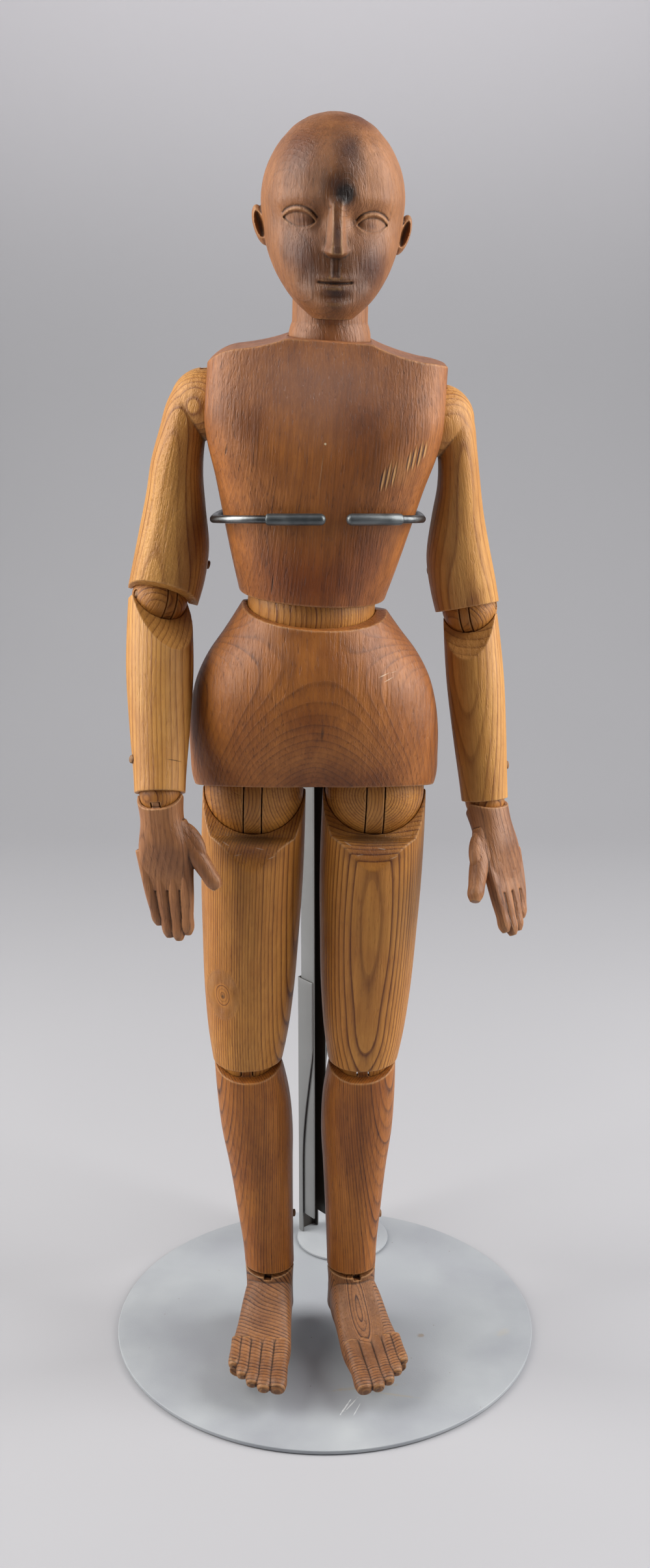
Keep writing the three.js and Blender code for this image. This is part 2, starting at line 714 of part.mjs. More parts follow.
// The chest, with seats for the arms, the neck and the waist ball. Its own frame is the waist ball's centre.
function torsoSolid(waistFrame, neckFrame) {
  const edge = TORSO_CHEST_WIDTH / 2 + 6;
  const slope = TORSO_CHEST_WIDTH / 2 - 18;
  const collar = COLLAR_WIDTH / 2;
  const outline = new THREE.Shape();
  outline.moveTo(-edge, -TORSO_RIM);
  outline.lineTo(edge, -TORSO_RIM);
  outline.lineTo(edge, LEFT_SHOULDER_EDGE);
  outline.quadraticCurveTo(edge - LEFT_SHOULDER_ROUND, SHOULDER_SLOPE_TOP - 3, slope, SHOULDER_SLOPE_TOP);
  outline.quadraticCurveTo(collar + 12, SHOULDER_SLOPE_TOP + 3, collar, TORSO_TOP);
  outline.lineTo(-collar, TORSO_TOP);
  outline.quadraticCurveTo(-collar - 12, SHOULDER_SLOPE_TOP + 3, -slope, SHOULDER_SLOPE_TOP);
  outline.quadraticCurveTo(RIGHT_SHOULDER_ROUND - edge, SHOULDER_SLOPE_TOP - 1, -edge, RIGHT_SHOULDER_EDGE);
  let made = loft(TORSO_STATIONS, 18).intersect(prismY(outline, FAR));
  for (const side of SIDES) {
    const out = side.sign;
    const [x, ...at] = [side.shoulderX, SHOULDER_Y, SHOULDER_HEIGHT];
    const deep = x - SHOULDER_BALL - SHOULDER_STUB_LENGTH - CLEAR;
    const bore = boreX(SHOULDER_STUB + CLEAR, out * deep, out * x, ...at, STEM_SIDES);
    const flank = TORSO_CHEST_WIDTH / 2 - FLANK_INSET;
    const seat = boreX(FLANK_SEAT_RADIUS, out * flank, out * FAR, ...at, 20);
    const round = hollow(SHOULDER_BALL + CLEAR).translate([out * x, ...at]);
    made = made.subtract(round).subtract(bore).subtract(seat);
  }
  const neckBore = boreZ(NECK_STUB + CLEAR, -NECK_BALL - NECK_STUB_LENGTH - CLEAR, 0, STEM_SIDES);
  const neckSeat = hollow(NECK_BALL + CLEAR).add(neckBore);
  made = made.subtract(neckSeat.transform(neckFrame.matrix.elements));
  made = made.subtract(block(-FAR, FAR, -FAR, FAR, -FAR, TORSO_RIM));
  return seatUpper(made, WAIST, waistFrame);
}

// A swivel in a socket: a stem turned along Z below, and a flat tongue round its pin at the origin.
function swivel(stem, length, ball, width, pin) {
  const hub = stem;
  const shank = rodZ(stem, -ball - length, -ball - CLEAR, STEM_SIDES);
  const root = -ball - length / 4;
  const half = Math.sqrt((stem - 2 * CLEAR) ** 2 - (width / 2) ** 2);
  const blade = prismX([[-half, root], [half, root], ...arc(180, 0, hub, 6)], width);
  return shank.add(blade).subtract(boreX(pin + CLEAR, -width, width, 0, 0));
}

// The head and neck in one piece, in the neck ball's frame.
function headSolid() {
  const half = HEAD_WIDTH / 2;
  const skull = [
    [CHIN_HEIGHT, 12, FACE_FRONT - 6, -14],
    [CHIN_HEIGHT + 8, 21.5, FACE_FRONT - 1, 2],
    [MOUTH_HEIGHT, half - 11, FACE_FRONT, 26],
    [NOSE_BASE, half - 5, FACE_FRONT, HEAD_BACK - 12.6],
    [EYE_HEIGHT, half - 1, FACE_FRONT - 0.5, HEAD_BACK - 3],
    [86, half, FACE_FRONT + 1, HEAD_BACK],
    [104, half - 4.4, FACE_FRONT - 2, HEAD_BACK - 1.5],
    [HEAD_TOP - 14, half - 11, FACE_FRONT - 11, HEAD_BACK - 10],
    [HEAD_TOP - 5, half - 22, FACE_FRONT - 24, HEAD_BACK - 24],
    [HEAD_TOP, 6, 5, 14],
  ];
  const neck = [
    [2, NECK_RADIUS, NECK_RADIUS, NECK_RADIUS],
    [20, NECK_RADIUS, NECK_RADIUS, NECK_RADIUS + 1],
    [48, NECK_RADIUS, NECK_RADIUS, NECK_RADIUS + 8],
  ];
  const nose = [
    [NOSE_BASE, 7, NOSE_TIP - 2, -FACE_FRONT + 14],
    [NOSE_BASE + 4, 7.4, NOSE_TIP, -FACE_FRONT + 12],
    [NOSE_BASE + 14, 4.6, NOSE_TIP - 4, -FACE_FRONT + 12],
    [NOSE_BRIDGE, 4.4, FACE_FRONT + 1, -FACE_FRONT + 12],
  ];
  let made = loft(skull, 16).add(loft(neck, 10)).add(loft(nose, 8)).add(sphere(NECK_BALL));
  for (const sign of [-1, 1]) {
    const ear = new THREE.SphereGeometry(1, 6, 6).scale(5, 8.5, 13.5).rotateY(sign * 0.12);
    made = made.add(solid(ear.translate(sign * (EAR_OUT - 4.6), 9, EAR_HEIGHT)));
    const socket = new THREE.SphereGeometry(1, 8, 4).scale(12, 6, 7).rotateZ(sign * 0.22);
    made = made.subtract(solid(socket.translate((sign * EYE_SPACING) / 2, -FACE_FRONT, EYE_HEIGHT + 1)));
    const eye = new THREE.SphereGeometry(1, 8, 4).scale(9.5, 5, 5.2).rotateZ(sign * 0.22);
    made = made.add(solid(eye.translate((sign * EYE_SPACING) / 2, -FACE_FRONT + 7.5, EYE_HEIGHT)));
  }
  const lips = new THREE.CylinderGeometry(MOUTH_REACH, MOUTH_REACH, 1.2, 12).rotateX(Math.PI / 2);
  const lipY = MOUTH_REACH - MOUTH_DEPTH - FACE_FRONT;
  made = made.subtract(solid(lips.translate(0, lipY, MOUTH_HEIGHT)));
  const width = NECK_TONGUE + 2 * CLEAR;
  const reach = NECK_STUB + CLEAR;
  const spread = reach + Math.tan(rad(NECK_NOD)) * NECK_BALL;
  const low = -NECK_BALL - 2;
  const slot = prismX([[-reach, 0], [-spread, low], [spread, low], [reach, 0]], width);
  const eyeHole = boreX(reach, -width / 2, width / 2, 0, 0, 16);
  return made.subtract(slot).subtract(eyeHole).subtract(boreX(NECK_PIN + CLEAR, -FAR, FAR, 0, 0));
}

// The upper arm with its round head, slotted for the swivel. Its own frame is the shoulder's centre.
function upperArmSolid(side, elbowFrame, run) {
  const out = side.sign;
  const reach = SHOULDER_STUB + CLEAR;
  const width = SHOULDER_TONGUE + 2 * CLEAR;
  const shaft = loft(upperArmStations(side));
  const inner = out > 0 ? [-FAR, reach] : [-reach, FAR];
  const slot = block(...inner, -width / 2, width / 2, -reach, FAR);
  const plug = SHOULDER_PIN_LENGTH / 2 + CLEAR;
  const pinHole = boreX(SHOULDER_PIN + CLEAR, -plug, plug, 0, 0).rotate([0, 0, 90]);
  const made = shaft.add(sphere(SHOULDER_BALL)).subtract(slot).subtract(pinHole);
  return seatUpper(made, ELBOW, elbowFrame, run, side.elbowLift);
}

// A finger or toe: a tapering rounded stick down from the origin.
function digit(length, width, curl) {
  const half = width / 2;
  return loft(
    [
      [4, half, half, half],
      [-length + half, half * 0.82, half * 0.8 - curl * 0.8, half * 0.8 + curl * 0.8],
      [-length, half * 0.34, half * 0.3 - curl, half * 0.3 + curl],
    ],
    6,
  );
}

// A hand, its back to -Y and its thumb towards the body, in the wrist's frame.
function handSolid(side) {
  const inner = -side.sign;
  const half = PALM_WIDTH / 2;
  const deep = PALM_DEPTH / 2;
  const cuff = FOREARM_WRIST_WIDTH / 2 - 1;
  const palm = [
    [2, cuff, cuff - 1.4, cuff - 1.4],
    [-PALM_LENGTH * 0.286, cuff - 1.4, cuff - 3.4, cuff - 3.4],
    [-PALM_LENGTH * 0.607, half - 1.4, deep + 1.4, deep + 1],
    [-PALM_LENGTH * 0.857, half, deep, deep],
    [-PALM_LENGTH - 2, half - 0.8, deep - 2.4, deep - 2],
  ];
  let made = loft(palm.map((row) => [...row, 0, 2.4]), 10);
  const shares = [0.92, 1, 0.95, 0.76];
  shares.forEach((share, i) => {
    const x = inner * (1.5 - i) * FINGER_WIDTH * 0.95;
    const length = side.fingerLength * share;
    const gather = THREE.MathUtils.radToDeg(Math.atan2(FINGER_GATHER * x, length));
    const stick = digit(length, FINGER_WIDTH, FINGER_CURL).rotate([0, gather, 0]);
    made = made.add(stick.translate([x, 0, -PALM_LENGTH + 2]));
  });
  const thumb = digit(THUMB_LENGTH, THUMB_WIDTH, 2).rotate([0, -inner * THUMB_SPLAY, 0]);
  made = made.add(thumb.translate([inner * (half - 6), 1, -PALM_LENGTH * 0.43]));
  return seatLower(made, WRIST).add(tongue(WRIST));
}

// A foot, toes to -Y, in the ankle's frame. The sole is flat to the ball and rises under the toes.
function footSolid(side) {
  const inner = -side.sign;
  const half = FOOT_WIDTH / 2;
  const sole = FOOT_HEIGHT;
  const cuff = SHIN_ANKLE_WIDTH / 2;
  const long = [
    [-HEEL_BACK, 7, sole - 8, -26],
    [-HEEL_BACK + 5, 13.5, sole - 1, -16],
    [-HEEL_BACK * 0.44, half - 5.5, sole, -8],
    [TOE_FRONT * 0.065, half - 5, sole, -6],
    [TOE_FRONT * 0.283, half - 3.4, sole, -15],
    [TOE_FRONT * 0.543, half - 1.4, sole, -27],
    [TOE_FRONT - 17, half - 2, sole - 1.8, -37],
  ];
  const body = loft(long.map(([t, w, low, high]) => [t, w, low, high, (-inner * t) / 40, 2.6]), 10);
  const ankle = [
    [2, cuff, cuff, cuff + 0.4],
    [-14, cuff - 0.8, cuff + 1, cuff],
    [-34, cuff - 0.6, cuff + 6, cuff + 6],
  ];
  let made = body.rotate([90, 0, 0]).add(loft(ankle, 10));
  const toes = [
    [0.3, 0.341, 1],
    [0.059, 0.236, 1.01],
    [-0.127, 0.223, 0.97],
    [-0.291, 0.209, 0.9],
    [-0.432, 0.2, 0.81],
  ];
  for (const [place, broad, share] of toes) {
    const start = TOE_FRONT - 30;
    const width = broad * FOOT_WIDTH;
    const toe = digit(TOE_FRONT * share - start, width, -2).rotate([-90, 0, 0]);
    made = made.add(toe.translate([inner * place * FOOT_WIDTH, -start, width / 2 + TOE_SPRING - sole]));
  }
  return seatLower(made, ANKLE).add(tongue(ANKLE));
}

// The hips: a bowl for the waist ball with its tongue, and seats for the two hip balls.
function pelvisSolid(hipFrames) {
  const half = PELVIS_WIDTH / 2;
  const rim = TORSO_WAIST_WIDTH / 2 - 1.5;
  const bottom = -PELVIS_LENGTH;
  const stations = [
    [3, rim - 1, rim - 1, rim - 1, 0, 2],
    [-17, half - 24.5, PELVIS_FRONT - 7.5, PELVIS_BACK - 11, 0.5, 2],
    [-32, half - 13.8, PELVIS_FRONT - 3.5, PELVIS_BACK - 6, 0.8, 2.05],
    [-47, half - 6.3, PELVIS_FRONT - 1, PELVIS_BACK - 2, 1, 2.1],
    [-64, half - 1.8, PELVIS_FRONT, PELVIS_BACK, 1.2, 2.1],
    [-80, half, PELVIS_FRONT - 1, PELVIS_BACK, 1.4, 2.15],
    [-98, half, PELVIS_FRONT - 4, PELVIS_BACK - 3, 1.6, 2.2],
    [bottom + 5, half - 1.4, PELVIS_FRONT - 8, PELVIS_BACK - 8, HIP_X, 2.3],
    [bottom, half - 3, PELVIS_FRONT - 10, PELVIS_BACK - 11, HIP_X, 2.3],
  ];
  const level = loft(stations, 18).rotate([0, -TORSO_ROLL, 0]);
  let made = seatLower(level, WAIST).add(tongue(WAIST)).rotate([0, TORSO_ROLL, 0]);
  const [frontY, frontZ] = polar(PELVIS_FRONT_RISE, FAR);
  const [backY, backZ] = polar(180 - PELVIS_BACK_RISE, FAR);
  const under = [[0, 0], [frontY, frontZ], [-FAR, -FAR], [FAR, -FAR], [backY, backZ]];
  made = made.subtract(prismX(under, 2 * FAR).translate([0, 0, bottom]));
  for (const frame of hipFrames) {
    let tool = hollow(HIP.radius + CLEAR, HIP.sides);
    tool = tool.add(boreZ(HIP.stem + CLEAR, 0, HIP.stemLength + CLEAR, STEM_SIDES));
    made = made.subtract(tool.transform(frame.matrix.elements));
  }
  return made;
}

// The post's folded section about its own axis, open to -Y.
function channel(width, depth, sheet, from, to) {
  const half = width / 2;
  const outer = block(-half, half, -depth / 2, depth / 2, from, to);
  return outer.subtract(block(-half + sheet, half - sheet, -FAR, depth / 2 - sheet, from - 1, to + 1));
}

function buildStand(root) {
  const top = PLATE_THICKNESS;
  node(root, "base_plate", rodZ(PLATE_DIAMETER / 2, 0, top, 56), GREY_PAINT);
  const seat = top + CLEAR;
  const flange = rodZ(FLANGE_DIAMETER / 2, seat, seat + FLANGE_THICKNESS, 28);
  node(root, "post_flange", flange.translate([FLANGE_X, FLANGE_Y, 0]), GREY_PAINT);
  const foot = seat + FLANGE_THICKNESS + CLEAR;
  const stand = group(root, [POST_X, POST_Y, 0], [0, 0, POST_TURN]);
  const wide = POST_WIDTH + 2 * (POST_SHEET + CLEAR);
  const deep = POST_DEPTH + POST_SHEET + CLEAR;
  const shift = (POST_SHEET + CLEAR) / 2;
  const back = deep / 2;
  const sweep = new THREE.Shape();
  sweep.moveTo(back + 1, foot - 1);
  sweep.lineTo(back + 1, SLEEVE_HEIGHT + 1);
  sweep.lineTo(-back - 1, SLEEVE_HEIGHT + 1);
  sweep.lineTo(-back - 1, SLEEVE_SWEEP_END);
  const strip = back - SLEEVE_STRIP;
  const [low, high] = [SLEEVE_SWEEP_START, SLEEVE_SWEEP_END];
  sweep.bezierCurveTo(-back, high - 40, strip, low + 50, strip, low);
  sweep.lineTo(strip, foot - 1);
  const side = prismX(sweep.getPoints(10).map((p) => [p.x, p.y]), FAR);
  const sleeve = channel(wide, deep, POST_SHEET, foot, SLEEVE_HEIGHT).intersect(side);
  node(stand, "post_sleeve", sleeve.translate([0, shift, 0]), POST_PAINT);
  const postTop = CLIP_HEIGHT - CLIP_WIRE / 2 - CLEAR;
  const post = channel(POST_WIDTH, POST_DEPTH, POST_SHEET, foot + POST_FOOT, postTop);
  node(stand, "upper_post", post, POST_PAINT);
}

// The clip's plan: from one front tip round that side of the chest, and back to the post.
function clipHalf(sign) {
  const slope = Math.tan(rad(CLIP_TILT));
  const top = CLIP_RISE + (TORSO_CHEST_DEPTH / 2) * slope;
  const height = top / Math.cos(rad(TORSO_ROLL));
  const [half, front, back, , power] = sectionsOf(TORSO_STATIONS).at(height);
  const middle = WAIST_X + height * Math.sin(rad(TORSO_ROLL));
  const off = CLIP_WIRE / 2 + CLIP_GAP;
  const [a, b] = [half + off, (front + back) / 2 + off];
  const points = [];
  const steps = 14;
  const tip = CLIP_MOUTH_X + sign * (CLIP_MOUTH / 2 + CLIP_TIP_END);
  const first = Math.asin(Math.min(1, Math.abs(tip - middle) / a)) * Math.sign(sign * (tip - middle));
  for (let i = 0; i <= steps; i++) {
    const angle = THREE.MathUtils.lerp(first, rad(CLIP_WRAP), i / steps);
    const x = middle + sign * a * bend(Math.sin(angle), power);
    const y = FIGURE_Y + (back - front) / 2 - b * bend(Math.cos(angle), power);
    points.push(axis(x, y, CLIP_HEIGHT + Math.max(0, FIGURE_Y - y) * slope));
  }
  return points;
}

function wireAlong(points, diameter, sides, steps) {
  const curve = new THREE.CatmullRomCurve3(points, false, "centripetal");
  const ring = Array.from({ length: sides }, (_, i) => {
    const angle = (2 * Math.PI * i) / sides;
    return [(diameter / 2) * Math.cos(angle), (diameter / 2) * Math.sin(angle)];
  });
  return solid(new THREE.ExtrudeGeometry(shapeOf(ring), { steps, extrudePath: curve, bevelEnabled: false }));
}

function buildClip(root) {
  const [right, left] = [clipHalf(-1), clipHalf(1)];
  const bridge = axis(POST_X, POST_Y, CLIP_HEIGHT);
  const wire = wireAlong([...right, bridge, ...left.toReversed()], CLIP_WIRE, 6, 34);
  const hole = wireAlong([...right, bridge, ...left.toReversed()], CLIP_WIRE + 2 * CLEAR, 6, 34);
  node(root, "torso_clip", wire, STEEL);
  for (const [name, points] of [["right", right], ["left", left]]) {
    const along = points[1].clone().sub(points[0]).normalize();
    const tip = points[0].clone().addScaledVector(along, -CLIP_TIP_END);
    const curve = new THREE.CatmullRomCurve3([tip, ...points.slice(0, 8)], false, "centripetal");
    const share = CLIP_TIP_LENGTH / curve.getLength();
    const run = Array.from({ length: 7 }, (_, i) => curve.getPointAt((share * i) / 6));
    node(root, "clip_tip_" + name, wireAlong(run, CLIP_TIP_DIAMETER, 8, 5).subtract(hole), SLEEVING);
  }
}

// One arm on the torso, from the shoulder's swivel to the hand.
function buildArm(torso, side) {
  const label = side.name + "_";
  const out = side.sign;
  const swing = group(torso, [out * side.shoulderX, SHOULDER_Y, SHOULDER_HEIGHT], [side.swing, 0, 0]);
  const stub = swivel(SHOULDER_STUB, SHOULDER_STUB_LENGTH, SHOULDER_BALL, SHOULDER_TONGUE, SHOULDER_PIN);
  node(swing, label + "shoulder_stub", stub.rotate([0, 0, 90]).rotate([0, out * 90, 0]), PALE_WOOD);
  const arm = group(swing, [0, 0, 0], [0, -out * side.raise, 0]);
  const pin = rodX(SHOULDER_PIN, -SHOULDER_PIN_LENGTH / 2, SHOULDER_PIN_LENGTH / 2).rotate([0, 0, 90]);
  node(arm, label + "shoulder_pin", pin, PEG_WOOD);
  const elbowSeat = seatFrame(arm, [0, 0, -UPPER_ARM_LENGTH]);
  const elbowRun = pegRun(upperArmStations(side), UPPER_ARM_LENGTH, ELBOW, side.elbowPegSide);
  node(arm, label + "upper_arm", upperArmSolid(side, elbowSeat, elbowRun), HONEY_WOOD);
  node(elbowSeat, label + "elbow_peg", pegOf(ELBOW, elbowRun), PEG_WOOD);

  const elbow = group(elbowSeat, [0, 0, 0], [0, 0, side.elbowTwist]);
  node(elbow, label + "elbow_ball", slottedBall(ELBOW), PALE_WOOD);
  node(elbow, label + "elbow_pin", ballPin(ELBOW), PEG_WOOD);
  const fore = group(elbow, [0, 0, 0], [-side.elbowBend, 0, 0]);
  node(fore, label + "elbow_tongue", tongue(ELBOW), PALE_WOOD);
  const wristSeat = seatFrame(fore, [0, 0, -FOREARM_LENGTH]);
  const wristRun = pegRun(forearmStations(side), FOREARM_LENGTH, WRIST, out);
  let forearm = seatLower(loft(forearmStations(side)), ELBOW).subtract(mortise(ELBOW));
  forearm = seatUpper(forearm, WRIST, wristSeat, wristRun);
  node(fore, label + "forearm", forearm, HONEY_WOOD);
  node(wristSeat, label + "wrist_peg", pegOf(WRIST, wristRun), PEG_WOOD);

  const wrist = group(wristSeat, [0, 0, 0], [0, 0, side.wristTwist]);
  node(wrist, label + "wrist_ball", slottedBall(WRIST, true), PALE_WOOD);
  node(group(wrist, [0, 0, 0], [-side.wristBend, 0, 0]), label + "hand", handSolid(side), RED_WOOD);
}

// One leg under the pelvis, from the hip ball to the foot.
function buildLeg(hipSeat, side) {
  const label = side.name + "_";
  node(hipSeat, label + "hip_ball", slottedBall(HIP), HONEY_WOOD);
  node(hipSeat, label + "hip_pin", ballPin(HIP), PEG_WOOD);
  const leg = group(hipSeat);
  node(leg, label + "hip_tongue", tongue(HIP), PALE_WOOD);
  const kneeSeat = seatFrame(leg, [0, 0, -THIGH_LENGTH], KNEE_TILT);
  const kneeRun = pegRun(thighStations(), THIGH_LENGTH, KNEE, 1);
  let thigh = seatLower(loft(thighStations()), HIP).subtract(mortise(HIP));
  thigh = seatUpper(thigh, KNEE, kneeSeat, kneeRun);
  node(leg, label + "thigh", thigh, HONEY_WOOD);
  node(kneeSeat, label + "knee_peg", pegOf(KNEE, kneeRun), PEG_WOOD);

  const knee = group(kneeSeat);
  node(knee, label + "knee_ball", slottedBall(KNEE), PALE_WOOD);
  node(knee, label + "knee_pin", ballPin(KNEE), PEG_WOOD);
  const inset = -side.sign * SHIN_INSET;
  const lower = group(knee);
  const ankleSeat = seatFrame(lower, [inset, 0, -SHIN_LENGTH], ANKLE_TILT);
  const ankleRun = pegRun(shinStations(side), SHIN_LENGTH, ANKLE, 1, inset);
  let shin = seatLower(loft(shinStations(side)), KNEE).add(tongue(KNEE));
  shin = seatUpper(shin, ANKLE, ankleSeat, ankleRun);
  node(lower, label + "shin", shin, BROWN_WOOD);
  node(ankleSeat, label + "ankle_peg", pegOf(ANKLE, ankleRun), PEG_WOOD);

  const ankle = group(ankleSeat, [0, 0, 0], [0, 0, side.footTurn]);
  node(ankle, label + "ankle_ball", slottedBall(ANKLE, true), PALE_WOOD);
  node(group(ankle), label + "foot", footSolid(side), RED_WOOD);
}

const mannequin = new THREE.Group();
buildStand(mannequin);
buildClip(mannequin);

const waist = group(mannequin, [WAIST_X, FIGURE_Y, WAIST_Z]);
const torso = group(waist, [0, 0, 0], [0, TORSO_ROLL, 0]);
const neckSeat = seatFrame(torso, [0, NECK_Y, NECK_HEIGHT], HEAD_ROLL);
node(torso, "torso", torsoSolid(seatFrame(torso, [0, 0, 0]), neckSeat), DARK_WOOD);
node(torso, "waist_ball", slottedBall(WAIST), PALE_WOOD);
node(torso, "waist_pin", ballPin(WAIST), PEG_WOOD);

const neck = group(neckSeat, [0, 0, 0], [0, 0, HEAD_TURN]);
node(neck, "neck_stub", swivel(NECK_STUB, NECK_STUB_LENGTH, NECK_BALL, NECK_TONGUE, NECK_PIN), PALE_WOOD);
node(neck, "neck_pin", rodX(NECK_PIN, -NECK_BALL + 2, NECK_BALL - 2), PEG_WOOD);
node(neck, "head", headSolid(), DARK_WOOD);
buildArm(torso, lookup.right);
buildArm(torso, lookup.left);

const hips = group(waist);
const hipX = SIDES.map((side) => HIP_X + (side.sign * HIP_SPACING) / 2);
const hipSeats = hipX.map((x) => seatFrame(hips, [x, 0, -HIP_DROP], HIP_TILT));
node(hips, "pelvis", pelvisSolid(hipSeats), DARK_WOOD);
hipSeats.forEach((seat, i) => buildLeg(seat, SIDES[i]));

export default mannequin;
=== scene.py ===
"""A carved wooden lay figure on a steel stand, finely re-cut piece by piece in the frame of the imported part.

Every wooden piece is lofted, cut and smoothed in its own joint's frame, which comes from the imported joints.
Sizes are in millimetres, and MM turns them to metres where a mesh is made.
"""

from __future__ import annotations

import json
import logging
import math
from dataclasses import dataclass, field, replace
from enum import Enum
from functools import partial
from typing import Callable, Iterable, Sequence

import bpy
import numpy as np
from mathutils import Euler, Matrix, Vector

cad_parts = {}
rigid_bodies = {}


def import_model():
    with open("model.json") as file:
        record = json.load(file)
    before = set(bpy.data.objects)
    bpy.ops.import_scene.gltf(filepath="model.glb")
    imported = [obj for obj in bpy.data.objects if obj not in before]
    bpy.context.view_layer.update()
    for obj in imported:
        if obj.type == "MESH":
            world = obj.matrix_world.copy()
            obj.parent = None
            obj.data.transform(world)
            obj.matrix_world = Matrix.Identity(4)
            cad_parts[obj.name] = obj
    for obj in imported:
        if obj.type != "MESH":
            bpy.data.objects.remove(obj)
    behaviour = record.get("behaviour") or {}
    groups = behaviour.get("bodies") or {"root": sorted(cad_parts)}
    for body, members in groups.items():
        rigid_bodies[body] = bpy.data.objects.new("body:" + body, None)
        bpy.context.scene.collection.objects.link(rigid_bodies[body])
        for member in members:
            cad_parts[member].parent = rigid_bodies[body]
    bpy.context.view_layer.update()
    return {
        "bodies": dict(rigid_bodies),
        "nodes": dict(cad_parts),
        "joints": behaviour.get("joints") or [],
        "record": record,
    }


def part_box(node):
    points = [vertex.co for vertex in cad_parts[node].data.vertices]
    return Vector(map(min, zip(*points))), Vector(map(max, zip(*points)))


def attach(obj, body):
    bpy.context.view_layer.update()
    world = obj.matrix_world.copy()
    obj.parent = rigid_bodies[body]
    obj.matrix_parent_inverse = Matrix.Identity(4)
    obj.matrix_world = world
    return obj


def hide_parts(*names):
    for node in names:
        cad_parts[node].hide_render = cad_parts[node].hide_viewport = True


LOG = logging.getLogger("mannequin")
MM = 0.001
CLEAR = 0.3
FAR = 400.0

Row = Sequence[float]
Flat = tuple[float, float]
Point = tuple[float, float, float]
Socket = bpy.types.NodeSocket
Step = tuple["Cut", "Blank"]


class Side(Enum):
    """The figure's own right and left, with the sign of X that each lies on."""

    RIGHT = -1
    LEFT = 1

    @property
    def label(self) -> str:
        """The start of this side's node and body names."""
        return self.name.lower() + "_"


class Cut(Enum):
    """What a blank does to the piece it meets."""

    ADD = "UNION"
    TAKE = "DIFFERENCE"
    KEEP = "INTERSECT"


def linear(hex_colour: str) -> tuple[float, float, float, float]:
    """Turns an sRGB hex colour to linear light.

    Args:
        hex_colour: a colour such as "#ad7c4c".

    Returns:
        Red, green, blue and an alpha of one.
    """
    parts = [int(hex_colour[i : i + 2], 16) / 255 for i in (1, 3, 5)]
    return (*[c / 12.92 if c <= 0.04045 else ((c + 0.055) / 1.055) ** 2.4 for c in parts], 1.0)


def plug(node: bpy.types.Node, inputs: dict) -> None:
    """Sets a node's sockets.

    Args:
        node: the node.
        inputs: values for its sockets, or sockets to link them to.
    """
    for name, value in inputs.items():
        if isinstance(value, Socket):
            node.id_data.links.new(value, node.inputs[name])
        else:
            node.inputs[name].default_value = value


def add_node(
    tree: bpy.types.NodeTree, kind: str, inputs: dict | None = None, out: int | str = 0, **settings: object
) -> Socket:
    """Adds a node with its settings, values and links.

    Args:
        tree: the node tree to add to.
        kind: the node's type, less the "ShaderNode" that every type starts with.
        inputs: values for its sockets, or sockets to link them to.
        out: which of its outputs to give back.
        settings: the node's own properties.

    Returns:
        That output.
    """
    made = tree.nodes.new("ShaderNode" + kind)
    for name, value in settings.items():
        setattr(made, name, value)
    plug(made, inputs or {})
    return made.outputs[out]


def open_material(name: str) -> tuple[bpy.types.Material, Callable[..., Socket], Socket]:
    """Starts a node material.

    Args:
        name: the material's name.

    Returns:
        The material, what adds a node to it, and places on the piece in millimetres.
    """
    made = bpy.data.materials.new(name)
    made.use_nodes = True
    add = partial(add_node, made.node_tree)
    where = add("TexCoord", out="Object")
    return made, add, add("VectorMath", {0: where, "Scale": 1 / MM}, operation="SCALE")


def local(outer: Matrix, inner: Matrix) -> Matrix:
    """Returns an inner frame as seen from an outer one, in millimetres.

    Args:
        outer: the frame to look from.
        inner: the frame to look at.

    Returns:
        The inner frame, with its place in millimetres.
    """
    found = outer.inverted() @ inner
    found.translation = found.translation / MM
    return found


# Meshes


@dataclass
class Blank:
    """A closed mesh in millimetres, in its piece's own frame."""

    points: np.ndarray
    faces: list[Sequence[int]]

    def moved(self, matrix: Matrix) -> "Blank":
        """Returns this blank carried by a matrix in millimetres."""
        turn = np.array(matrix)
        return Blank(self.points @ turn[:3, :3].T + turn[:3, 3], self.faces)

    def at(self, x: float = 0, y: float = 0, z: float = 0) -> "Blank":
        """Returns this blank shifted."""
        return Blank(self.points + np.array([x, y, z]), self.faces)

    def turned(self, degrees: float, axis: str) -> "Blank":
        """Returns this blank turned about one axis."""
        return self.moved(Matrix.Rotation(math.radians(degrees), 4, axis))

    def scaled(self, x: float, y: float, z: float) -> "Blank":
        """Returns this blank stretched along the axes."""
        return Blank(self.points * np.array([x, y, z]), self.faces)

    def mesh(self, name: str) -> bpy.types.Mesh:
        """Makes the mesh, in metres.

        Args:
            name: the mesh's name.

        Returns:
            The mesh.
        """
        made = bpy.data.meshes.new(name)
        made.from_pydata((self.points * MM).tolist(), [], [list(face) for face in self.faces])
        made.update()
        return made


def smooth_rows(stations: Sequence[Row], rings: int) -> np.ndarray:
    """Runs a smooth cubic through section sizes.

    Args:
        stations: rows of height, half width, front, back, and then centre X and power where they differ.
        rings: how many sections to give back.

    Returns:
        The sections from the lowest up, one row each.
    """
    rows = np.array(sorted([*row, *(0.0, 2.0)[len(row) - 4 :]] for row in stations), float)
    heights = rows[:, 0]
    slopes = np.gradient(rows[:, 1:], heights, axis=0)
    at = np.linspace(heights[0], heights[-1], rings)
    low = np.clip(np.searchsorted(heights, at, side="right") - 1, 0, len(heights) - 2)
    span = (heights[low + 1] - heights[low])[:, None]
    t = ((at - heights[low]) / span[:, 0])[:, None]
    ends = rows[low, 1:], rows[low + 1, 1:]
    bends = slopes[low] * span, slopes[low + 1] * span
    value = (2 * t**3 - 3 * t**2 + 1) * ends[0] + (t**3 - 2 * t**2 + t) * bends[0]
    value += (3 * t**2 - 2 * t**3) * ends[1] + (t**3 - t**2) * bends[1]
    return np.column_stack([at, value])


